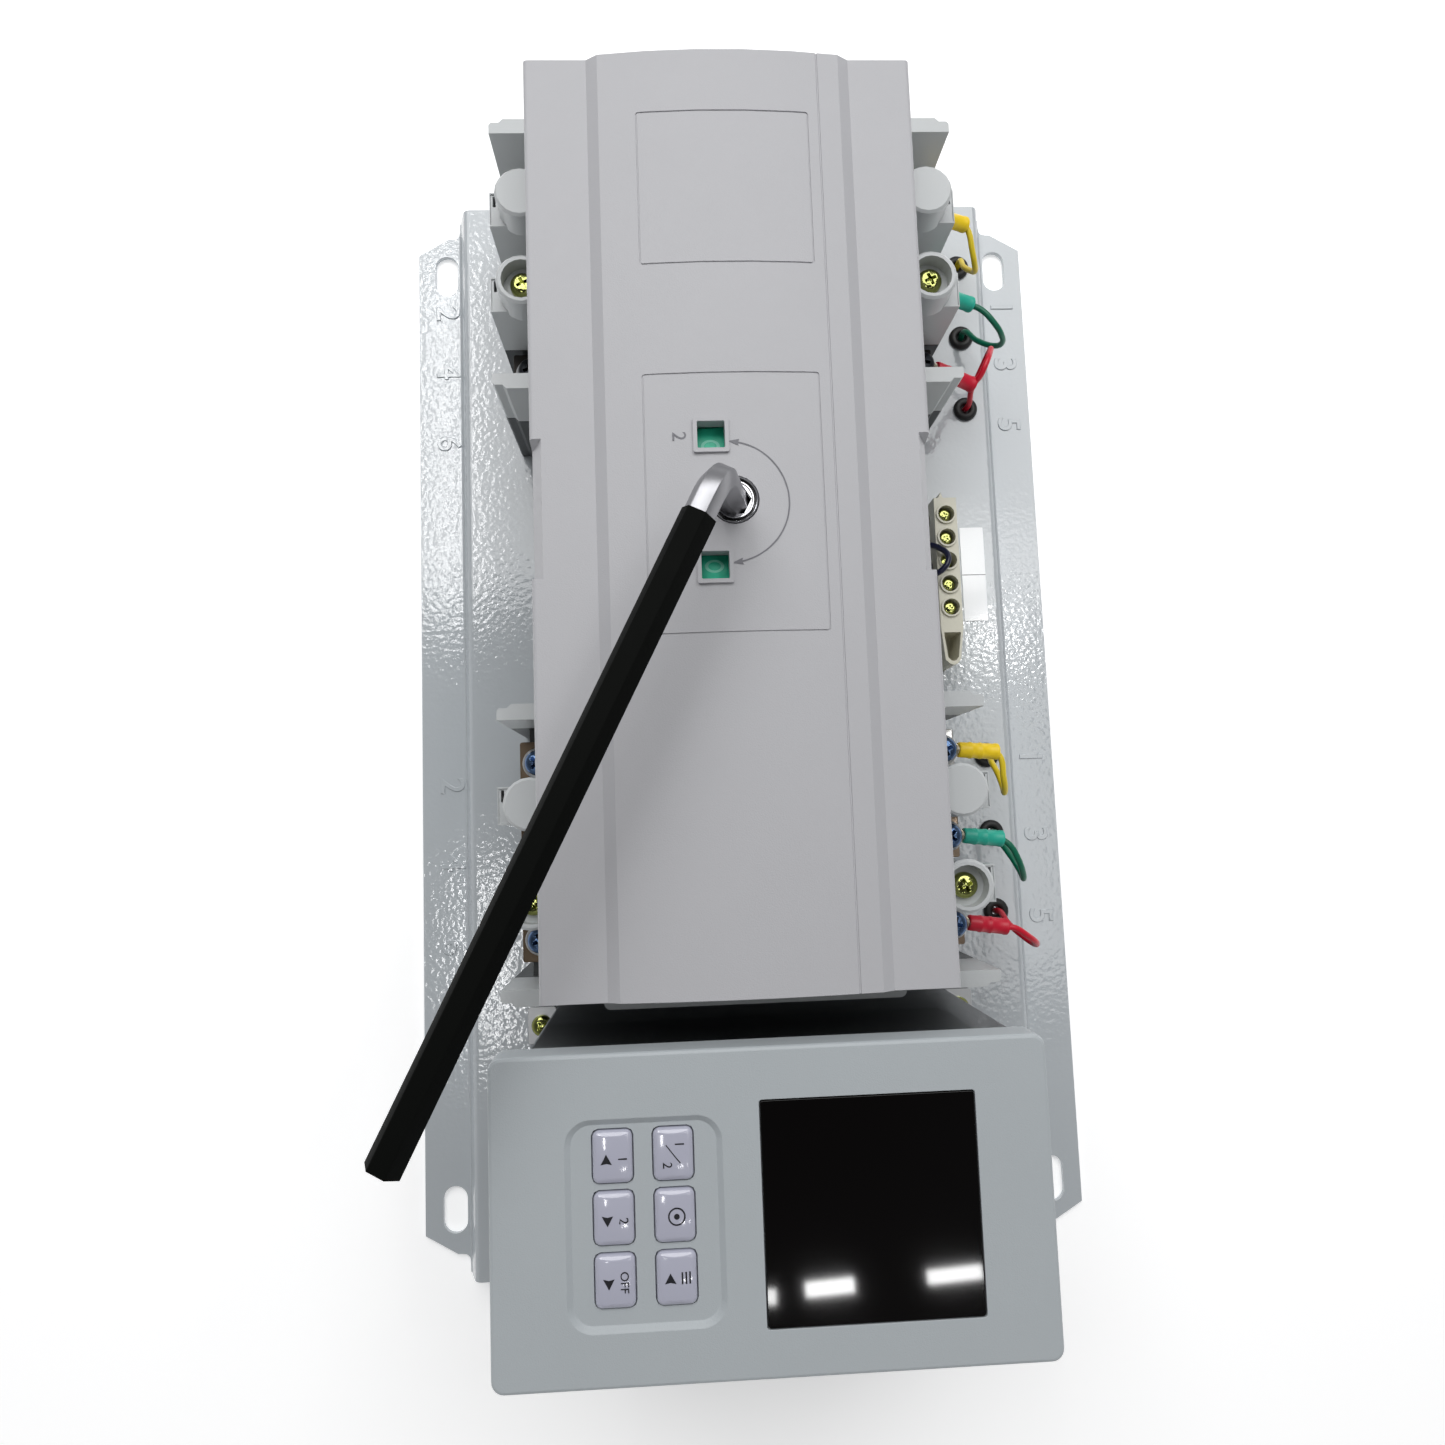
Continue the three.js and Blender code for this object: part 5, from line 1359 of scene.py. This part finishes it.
@dataclass
class BasePlate:
    """The folded plate with its embossed numbers and the terminal sticker.

    Attributes:
        left: the y of each number on the left flange, in millimetres.
        right: the y of each number on the right flange.
        left_x: x of the left flange's numbers.
        right_x: x of the right flange's numbers.
        flange: height of the flanges' upper side.
        size: height of a number.
        emboss: how thick a number is and how far its edges are rounded.
        sticker: x and y of the sticker's middle.
        sheet: half the sticker's width and depth.
        paper: heights of the sticker's lower and upper side.
    """

    left: dict[int, int] = field(default_factory=lambda: {168: 2, 143: 4, 113: 6, -25: 2, -55: 4, -87: 6})
    right: dict[int, int] = field(default_factory=lambda: {168: 1, 143: 3, 117: 5, -21: 1, -52: 3, -84: 5})
    left_x: float = -113.9
    right_x: float = 115.8
    flange: float = 2.0
    size: float = 9.5
    emboss: tuple[float, float] = (0.5, 0.22)
    sticker: tuple[float, float] = (94.45, 51.7)
    sheet: tuple[float, float] = (4.75, 18.9)
    paper: tuple[float, float] = (12.25, 12.42)

    def build(self) -> None:
        """Makes the fine plate, its numbers and the sticker."""
        refined("base_plate", Finishes.powder, 0.45, 3)
        depth, soft = self.emboss
        for side, x, numbers in (("left", self.left_x, self.left), ("right", self.right_x, self.right)):
            for i, (y, digit) in enumerate(numbers.items()):
                place = at(x, y, self.flange, SIGN_TURN)
                lettering(
                    f"plate_number_{side}_{i + 1}", str(digit), self.size, place, depth, CHASSIS,
                    Finishes.powder, soft,
                )
        (x, y), (half_x, half_y), (low, high) = self.sticker, self.sheet, self.paper
        sticker = Sculpt().plate(about(x, y, half_x, half_y, 0.4, 3), low, high, 0.03, 1)
        sticker.piece("terminal_sticker", CHASSIS, Finishes.paper)
        line = Sculpt().block((x - half_x, y - 0.5, high - 0.04), (x + half_x, y - 0.2, high + 0.02))
        line.piece("terminal_sticker_line", CHASSIS, Finishes.print_grey)


@dataclass(frozen=True)
class Terminal:
    """One side's terminals on a breaker.

    Attributes:
        side: line or load.
        span: the pad's lowest and highest x, in millimetres.
        screw_x: the screw's x.
        foot: height of the washer's underside.
    """

    side: str
    span: tuple[float, float]
    screw_x: float
    foot: float


@dataclass
class Breaker:
    """One moulded-case breaker with its terminals and screws.

    Attributes:
        row: upper or lower.
        sides: its line and load terminals.
        pad: a pad's half width, and the heights of its lower and upper side, in millimetres.
        screw: the head of a terminal screw.
        fixing: the head of a fixing screw.
        post_x: x of the posts' left and right centres.
        post_y: the posts' place along the plate, from the breaker's middle.
        post_top: height of the posts.
        head_foot: height of the fixing screws' heads.
    """

    row: str
    sides: tuple[Terminal, Terminal] = (
        Terminal("line", (51.0, 72.0), 67.4, 51.3), Terminal("load", (-80.0, -59.0), -73.6, 50.1),
    )
    pad: Place = (7.5, 47.1, 50.1)
    screw: PhillipsScrew = PhillipsScrew(4.4, 4.2, 3.0, 1.4, 2.2)
    fixing: PhillipsScrew = PhillipsScrew(4.2, 3.0, 2.5, 1.25, 1.9, 0.8)
    post_x: tuple[float, float] = (-71.5, 63.5)
    post_y: float = -15.0
    post_top: float = 80.0
    head_foot: float = 82.62

    def build(self) -> None:
        """Makes the fine mouldings, the terminals and the fixing screws."""
        refined(f"{self.row}_breaker_cover", Finishes.cover, 0.45, 3)
        refined(f"{self.row}_breaker_base", Finishes.base, 0.3)
        dress(Finishes.black, f"{self.row}_toggle")
        for pole in range(POLES):
            for terminal in self.sides:
                self._terminal(terminal, pole)
        y = BREAKERS[self.row] + self.post_y
        for side, x in zip(("left", "right"), self.post_x):
            made = Sculpt().adding(self.fixing.sculpt(), at(x, y, self.head_foot, 24.0))
            made.turned([(0, 0), (2.5, 0), (2.5, 3.0), (0, 3.0)], (x, y, self.post_top), steps=24)
            node = f"{self.row}_fixing_screw_{side}"
            made.piece(f"{node}_head", CHASSIS, Finishes.gold, 40.0, node)

    def _terminal(self, terminal: Terminal, pole: int) -> None:
        """Makes one terminal: its pad, washer and screw.

        Args:
            terminal: the side that it is on.
            pole: which pole it belongs to, counted from the top.
        """
        node = f"{self.row}_{terminal.side}_terminal_{pole + 1}"
        y = pole_y(self.row, pole)
        (left, right), (half, low, high) = terminal.span, self.pad
        pad = Sculpt().plate(rounded((left, y - half), (right, y + half), 0.8, 3), low, high, 0.35)
        pad.piece(f"{node}_pad", CHASSIS, self._pad_finish(terminal, pole), stands_for=node)
        washer = Sculpt().turned(
            [(2.2, 0), (5.3, 0), (5.4, 0.2), (5.35, 0.95), (5.1, 1.2), (2.2, 1.2), (2.2, 0)],
            (terminal.screw_x, y, terminal.foot),
        )
        washer.piece(f"{node}_washer", CHASSIS, Finishes.steel, 50.0)
        turn = 17.0 + 31.0 * (sum(ord(letter) * (i + 1) for i, letter in enumerate(node)) % 5)
        made = Sculpt().adding(self.screw.sculpt(), at(terminal.screw_x, y, terminal.foot + 1.0, turn))
        # The upper row's screws take a painted shade colour.
        zinc = Finishes.dark_zinc if self.row == "upper" else Finishes.zinc
        made.piece(f"{node}_screw", CHASSIS, zinc, 40.0)

    def _pad_finish(self, terminal: Terminal, pole: int) -> Finish:
        """Chooses a pad's finish.

        Args:
            terminal: the side that it is on.
            pole: which pole it belongs to, counted from the top.

        Returns:
            The finish.
        """
        # The upper row's pads take a painted shade colour.
        if self.row == "upper":
            return Finishes.shaded_copper
        if terminal.side == "load":
            return Finishes.aged_copper
        return Finishes.silver_pad if pole == 0 else Finishes.copper


@dataclass
class Drive:
    """The mechanism under the cover, the chrome ring and the hex key.

    Attributes:
        axis: x and y of the shaft.
        turn: direction of the key's arm in degrees.
        socket: width across flats of the ring's hexagonal hole.
        across: the key's width across flats.
        elbow: where the key's leg and arm would meet.
        tip: the leg's lower end.
        end: the arm's far end.
        bend: radius of the bend.
        skin: the sleeve's width across flats.
        bare: how much of the arm shows before the sleeve.
        past: how far the sleeve reaches past the arm's end.
    """

    axis: tuple[float, float] = (-7.0, 49.0)
    turn: float = -118.2
    socket: float = 8.5
    across: float = 7.7
    elbow: Place = (-12.8, 46.5, 150.0)
    tip: Place = (-5.9, 49.1, 112.0)
    end: Place = (-98.9, -122.6, 150.0)
    bend: float = 8.5
    skin: float = 8.6
    bare: float = 12.0
    past: float = 0.4

    def build(self) -> None:
        """Dresses the mechanism and makes the ring, the key and its sleeve."""
        dress(Finishes.steel, "drive_shaft", "drive_gear", "motor_pinion")
        dress(Finishes.dark, "drive_motor")
        dress(Finishes.sheet, "mechanism_bracket")
        dress(Finishes.green, "upper_carriage", "lower_carriage")
        self._ring()
        self._bar()
        self._grip()

    def _ring(self) -> None:
        """Makes the chrome ring with its groove and hexagonal hole, and a black ring in the groove's bottom as painted
        shade.
        """
        middle = (*self.axis, 0.0)
        body = body_of("socket_ring")
        ring = Sculpt().turned(
            [(0, 112.5), (6.9, 112.5), (6.9, 120.5), (6.75, 120.8), (6.55, 120.9), (6.4, 120.75),
             (6.35, 118.6), (5.75, 118.6), (5.7, 120.6), (5.5, 120.85), (5.2, 120.85), (4.95, 120.5),
             (0, 120.5)],
            middle, steps=96,
        )
        # Painted shade: a black ring fills the bottom of the groove.
        gap = Sculpt().turned(
            [(5.8, 118.5), (6.3, 118.5), (6.3, 119.6), (5.8, 119.6), (5.8, 118.5)], middle, steps=64
        )
        gap.piece("ring_groove", body, Finishes.black)
        hole = Sculpt().plate(self._hexagon(self.socket, self.turn), 110.0, 123.0)
        ring = ring.carved(hole.placed(Matrix.Translation(middle)))
        ring.piece("ring_with_groove", body, Finishes.chrome, 30.0, "socket_ring")

    @staticmethod
    def _hexagon(across: float, turn: float = 30.0) -> Outline:
        """A hexagon's corners, the first at an angle in degrees."""
        return arc_points((0.0, 0.0), across / math.sqrt(3.0), turn, turn + 300.0, 5)

    def _directions(self) -> tuple[Vector, Vector, Vector]:
        """Works out how the key lies.

        Returns:
            The directions of its arm, of its leg and square to both.
        """
        arm = (Vector(self.end) - Vector(self.elbow)).normalized()
        leg = (Vector(self.elbow) - Vector(self.tip)).normalized()
        return arm, leg, arm.cross(leg).normalized()

    def _bar(self) -> None:
        """Makes the bent hexagonal bar from its lower end up."""
        arm, leg, side = self._directions()
        elbow, tip, end = Vector(self.elbow), Vector(self.tip), Vector(self.end)
        inward = leg.cross(side)
        tangent = self.bend * math.tan(leg.angle(arm) / 2)
        bar = Sculpt()
        corners = [bar.bm.verts.new((x, y, 0.0)) for x, y in self._hexagon(self.across)]
        face = bar.bm.faces.new(corners)
        bar.placed(Matrix.Translation(tip) @ Matrix((-inward, side, leg)).transposed().to_4x4())
        face = self._drawn(bar, face, leg * ((elbow - tip).length - tangent))
        spun = bmesh.ops.spin(
            bar.bm, geom=[face], cent=elbow - leg * tangent + inward * self.bend, axis=leg.cross(arm),
            angle=leg.angle(arm), steps=16,
        )
        face = next(g for g in spun["geom_last"] if isinstance(g, bmesh.types.BMFace))
        self._drawn(bar, face, arm * ((end - elbow).length - tangent - 1.0))
        inner = [f for f in bar.bm.faces if all(len(e.link_faces) > 2 for e in f.edges)]
        bmesh.ops.delete(bar.bm, geom=inner, context="FACES_ONLY")
        bmesh.ops.recalc_face_normals(bar.bm, faces=bar.bm.faces)
        round_off(bar.bm, sharp_edges(bar.bm, 40.0), 0.35, 2)
        bar.piece("hex_key_bar", body_of("hex_key"), Finishes.brushed, 25.0, "hex_key")

    @staticmethod
    def _drawn(bar: Sculpt, face: bmesh.types.BMFace, way: Vector) -> bmesh.types.BMFace:
        """Draws a face out.

        Args:
            bar: the sculpt that it belongs to.
            face: the face.
            way: how far and in which direction.

        Returns:
            The new end face.
        """
        made = bmesh.ops.extrude_face_region(bar.bm, geom=[face])["geom"]
        bmesh.ops.translate(bar.bm, vec=way, verts=[g for g in made if isinstance(g, bmesh.types.BMVert)])
        return next(g for g in made if isinstance(g, bmesh.types.BMFace))

    def _grip(self) -> None:
        """Makes the sleeve on the key's arm, with a shallow dish in each end."""
        arm, _, side = self._directions()
        elbow = Vector(self.elbow)
        length = (Vector(self.end) - elbow).length - self.bare + self.past
        skin = Sculpt().plate(self._hexagon(self.skin), 0.0, length)
        caps = [f for f in skin.bm.faces if len(f.verts) == 6]
        bmesh.ops.inset_region(skin.bm, faces=caps, thickness=0.5, depth=-0.25)
        round_off(skin.bm, sharp_edges(skin.bm, 40.0), 0.3, 3)
        turn = Matrix((arm.cross(side), -side, arm)).transposed().to_4x4()
        skin.placed(Matrix.Translation(elbow + arm * self.bare) @ turn)
        bmesh.ops.recalc_face_normals(skin.bm, faces=skin.bm.faces)
        skin.piece("hex_key_grip", body_of("key_sleeve"), Finishes.sleeve, 25.0, "key_sleeve")


@dataclass
class FrontCover:
    """The long cover with its windows, lines and the double arrow.

    Attributes:
        crown: height of the crown's middle.
        middle: x of the crown's middle.
        half: half the crown's width.
        fall: how far the crown falls at its sides.
        rim: edges higher than this on the cover's sides are the rounder ones.
        arrow: x and y of the double arrow's centre.
        sweep: radius of the double arrow.
        arc: angle from its middle to the arc's ends, in degrees.
        reach: angle from its middle to the arrowheads.
        windows: x and y of the flag windows, upper first.
        drops: how far the flags' marks stand above the windows' middles.
        label: half the flag label's width and depth, and its height.
        flag: height of the labels' upper side.
        pitch: from mark to mark on a flag.
        number: how far the number stands to the left of a window.
        ink: thickness of the print.
    """

    crown: float = 120.6
    middle: float = -7.0
    half: float = 36.5
    fall: float = 2.4
    rim: float = 100.0
    arrow: tuple[float, float] = (-9.1, 48.4)
    sweep: float = 17.9
    arc: float = 79.0
    reach: float = 82.5
    windows: tuple[tuple[float, float], tuple[float, float]] = ((-13.2, 68.2), (-13.2, 29.8))
    drops: tuple[float, float] = (-1.0, 1.3)
    label: Place = (17.0, 4.6, 6.0)
    flag: float = 114.4
    pitch: float = 12.57
    number: float = 9.4
    ink: float = 0.08

    def build(self) -> None:
        """Makes the fine cover, its printed signs and the flags' marks."""
        self._shell()
        self._double_arrow()
        self._flags()
        for (x, y), text in zip(self.windows, "21"):
            place = at(x - self.number, y, self.height(x - self.number) + 0.02, SIGN_TURN)
            lettering(f"window_number_{text}", text, 4.2, place, self.ink, CHASSIS, Finishes.print_grey)

    def height(self, x: float) -> float:
        """Height of the cover's crown over an x."""
        return self.crown - self.fall * ((x - self.middle) / self.half) ** 2

    def _shell(self) -> None:
        """Makes the cover with rounder outer edges and finely broken inner ones."""
        work = merged("front_cover")
        low, high = (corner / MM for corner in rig.box("front_cover"))

        def outside(vert: bmesh.types.BMVert) -> bool:
            """Tells whether a vertex lies on the cover's sides and above its rim.

            Args:
                vert: the vertex.

            Returns:
                True where it does.
            """
            spot = vert.co / MM
            gap = min(abs(spot[i] - end[i]) for i in (0, 1) for end in (low, high))
            return spot.z > self.rim and gap < 0.3

        soften(work, [e for e in sharp_edges(work, 40.0) if all(map(outside, e.verts))], 1.1, 4)
        soften(work, sharp_edges(work, 22.0), 0.22, 2)
        finished_copy(work, "front_cover", Finishes.front)

    def _double_arrow(self) -> None:
        """Prints the arc with an arrowhead at each end."""
        x, y = self.arrow
        arc = Sculpt().bow((x, y, 0.0), self.sweep, (0.42, self.ink), -self.arc, self.arc, 64)
        for end in (-self.reach, self.reach):
            tip = arc_points(self.arrow, self.sweep, end, end, 1)[0]
            arc.plate(moved(dart(3.2, 2.0, 0.1), *tip, end + math.copysign(90.0, end)), 0.0, self.ink)
        arc.draped(lambda u, _: self.height(u) - 0.02)
        arc.piece("double_arrow", CHASSIS, Finishes.print_grey)

    def _flags(self) -> None:
        """Prints the marks that the windows show: an I for on, a 0 for off."""
        half_x, half_y, tall = self.label
        for row, drop, (x, y) in zip(BREAKERS, self.drops, self.windows):
            body = body_of(f"{row}_carriage")
            corners = ((x - half_x, y - half_y, self.flag - tall), (x + half_x, y + half_y, self.flag))
            Sculpt().block(*corners, 0.3).piece(f"{row}_flag_label", body, Finishes.green)
            on, line = x - self.pitch, y + drop
            marks = Sculpt().block((on - 2.7, line - 0.45, 0.0), (on + 2.7, line + 0.45, 0.06), 0.02, 1)
            ring = Sculpt().turned([(1.85, 0), (2.8, 0), (2.8, 0.06), (1.85, 0.06), (1.85, 0)])
            for centre in (x, x + self.pitch):
                marks.adding(ring, at(centre, line, 0.0) @ Matrix.Diagonal((1.0, 0.68, 1.0, 1.0)))
            marks.placed(Matrix.Translation((0.0, 0.0, self.flag)))
            marks.piece(f"{row}_flag_marks", body, Finishes.print_pale)


@dataclass(frozen=True)
class Mark:
    """Plain characters on a key.

    Attributes:
        label: the end of its piece's name.
        text: the characters.
        size: their height in millimetres.
        x: their place from the key's middle, to the right.
        y: their place from the key's middle, upwards.
    """

    label: str
    text: str
    size: float
    x: float
    y: float


@dataclass
class Controller:
    """Case, bezel, display and keys.

    Attributes:
        columns: x of the left and right key columns.
        rows: y of the three key rows.
        keys: each key's column and row.
        marks: the characters on the keys that have some.
        cap: width and height of a key.
        corner: radius of a key's corners.
        top: height of a key's crown.
        crown: how much the top is crowned.
        shoulder: how far inside a key's edge the crown begins.
        lip: how far a key's flange reaches past its cap.
        back: height of the panel's back, where a key's flange lies.
        ink: thickness of a legend.
        screw: the head of an ear's screw.
        ears: x of the gold screws at the case's ears.
        ear_y: y of these screws.
        ear_top: height of the ears' upper side.
    """

    columns: tuple[float, float] = (-46.3, -30.2)
    rows: tuple[float, float, float] = (-130.3, -146.0, -161.8)
    keys: dict[str, tuple[int, int]] = field(default_factory=lambda: {
        "source_1": (0, 0), "source_2": (0, 1), "off": (0, 2), "mode": (1, 0), "set": (1, 1), "query": (1, 2),
    })
    marks: dict[str, list[Mark]] = field(default_factory=lambda: {
        "source_1": [Mark("text", "1", 2.6, 2.5, -0.4)],
        "source_2": [Mark("text", "2", 2.6, 2.5, -0.4)],
        "off": [Mark("text", "OFF", 2.3, 2.4, 0.0)],
        "mode": [Mark("1", "1", 2.6, 1.6, 2.7), Mark("2", "2", 2.6, -1.7, -2.6)],
    })
    cap: tuple[float, float] = (10.6, 13.6)
    corner: float = 1.8
    top: float = 124.6
    crown: float = 0.6
    shoulder: float = 1.2
    lip: float = 1.0
    back: float = 121.0
    ink: float = 0.06
    screw: PhillipsScrew = PhillipsScrew(3.9, 2.2, 2.3, 1.1, 1.4, 0.8)
    ears: tuple[float, float] = (77.98, -78.78)
    ear_y: float = -115.7
    ear_top: float = 13.95

    def build(self) -> None:
        """Makes the fine housing, the keys, their legends and the ear screws."""
        # The case's dark finish is painted shade; the ear faces made further on keep the sheet's pale colour.
        refined("controller_case", Finishes.dark, 0.4, 3)
        refined("controller_bezel", Finishes.bezel, 0.35, 3)
        refined("display_window", Finishes.glass, 0.4, 3)
        dress(Finishes.circuit, "circuit_board")
        for name, (column, row) in self.keys.items():
            self._key(name, self.columns[column], self.rows[row])
        y, top = self.ear_y, self.ear_top
        for side, x in zip(("right", "left"), self.ears):
            ear = Sculpt().plate(about(x, y, 5.2, 6.7, 1.0, 4), top - 0.35, top, 0.1, 1)
            ear.piece(f"ear_face_{side}", CHASSIS, Finishes.sheet)
            made = Sculpt().adding(self.screw.sculpt(), at(x, y, top, 35.0))
            made.piece(f"ear_screw_{side}", CHASSIS, Finishes.gold, 40.0)

    def _rise(self, x: float, y: float) -> float:
        """How far a key's top stands above its edge at a place from its middle."""
        a, b = x / (self.cap[0] / 2 - self.shoulder), y / (self.cap[1] / 2 - self.shoulder)
        return self.crown * max(0.0, 1.0 - (a * a + b * b) / 2.0)

    def _key(self, name: str, x: float, y: float) -> None:
        """Makes one domed key with its flange and its legend.

        Args:
            name: what the key does.
            x: its middle across the case.
            y: its middle along the plate.
        """
        w, h = self.cap[0] / 2, self.cap[1] / 2
        edge, back = self.top - self.crown, self.back
        spot, body = Matrix.Translation((x, y, 0.0)), body_of(f"key_{name}")
        cap = Sculpt().plate(about(0, 0, w, h, self.corner), back - 1.0, edge, 1.15, 5)
        for i in range(1, 8):
            cap.sliced((i * w / 4 - w, 0, 0), (1, 0, 0)).sliced((0, i * h / 4 - h, 0), (0, 1, 0))
        cap.draped(self._rise, edge - 1e-3)
        lip = self.lip
        cap.plate(about(0, 0, w + lip, h + lip, self.corner + lip), back - 1.4, back - 0.05)
        cap.plate(about(0, 0, 1.2, 1.2, 0.4, 2), back - 3.4, back - 1.3)
        cap.placed(spot).piece(f"key_cap_{name}", body, Finishes.key, 40.0, f"key_{name}")
        for mark in self.marks.get(name, []):
            place = spot @ at(mark.x, mark.y, edge + self._rise(mark.x, mark.y) + 0.01, SIGN_TURN)
            lettering(
                f"legend_{name}_{mark.label}", mark.text, mark.size, place, 0.1, body, Finishes.print_black
            )
        legend = Sculpt()
        for shape in self._legend(name):
            legend.plate(shape, 0.0, self.ink)
        for i in range(1, 12):
            legend.sliced((0, i * h / 6 - h, 0), (0, 1, 0))
        legend.draped(lambda u, v: edge + self._rise(u, v) - 0.01)
        legend.placed(spot).piece(f"legend_{name}", body, Finishes.print_black)

    @staticmethod
    def _legend(name: str) -> list[Outline]:
        """Draws the flat shapes of a key's legend.

        Args:
            name: what the key does.

        Returns:
            The shapes' outlines about the key's middle.
        """
        head, bar = dart(2.7, 3.0), strip(0.22, 1.5)
        if name == "source_1":
            return [moved(head, -1.6, -0.4, 90)]
        if name in ("source_2", "off"):
            return [moved(head, -1.6, -0.4, -90)]
        if name == "query":
            return [moved(head, -1.6, 0.3, 90)] + [moved(bar, 1.5 + i, 0.3) for i in range(3)]
        if name == "mode":
            return [moved(strip(3.0, 0.14), 0.0, 0.2, -52)]
        tooth = [(1.9, -0.30), (2.3, -0.36), (2.3, 0.36), (1.9, 0.30)]
        teeth = [moved(tooth, 0.5, 0.0, 18.0 * i) for i in range(20)]
        return teeth + [arc_points((0.5, 0.0), 0.75, 0, 345, 23)]


@dataclass
class NeutralTerminals:
    """The ivory terminal block beside the cover.

    Attributes:
        x: its middle.
        wells: y of the screw wells.
        wired: which well holds the lead, counted from the top.
        foot: height of an open screw's head.
        clamped: height of the head that holds the lead.
        screw: a screw's head.
    """

    x: float = 79.2
    wells: tuple[float, ...] = (70.6, 61.6, 52.6, 43.6, 34.6)
    wired: int = 2
    foot: float = 28.9
    clamped: float = 26.3
    screw: PhillipsScrew = PhillipsScrew(2.45, 1.3, 1.5, 0.75, 0.9, 0.6)

    def build(self) -> None:
        """Makes the fine block and dresses its screws."""
        refined("neutral_block", Finishes.ivory, 0.25)
        dress(Finishes.gold, "neutral_bar")
        for i, y in enumerate(self.wells):
            foot = self.clamped if i == self.wired else self.foot
            made = Sculpt().adding(self.screw.sculpt(), at(self.x, y, foot, 20.0 + 40.0 * i))
            made.piece(f"neutral_screw_{i + 1}", CHASSIS, Finishes.gold, 40.0)


def main() -> None:
    """Builds the studio and every part of the product in order."""
    logging.basicConfig(level=logging.INFO, format="%(name)s: %(message)s")
    parts = [
        Studio(), Wiring(), BasePlate(), *map(Breaker, BREAKERS), Drive(), FrontCover(), Controller(),
        NeutralTerminals(),
    ]
    for part in parts:
        part.build()
        LOG.info("built %s", type(part).__name__)
    write_sizes()


if __name__ == "__main__":
    main()
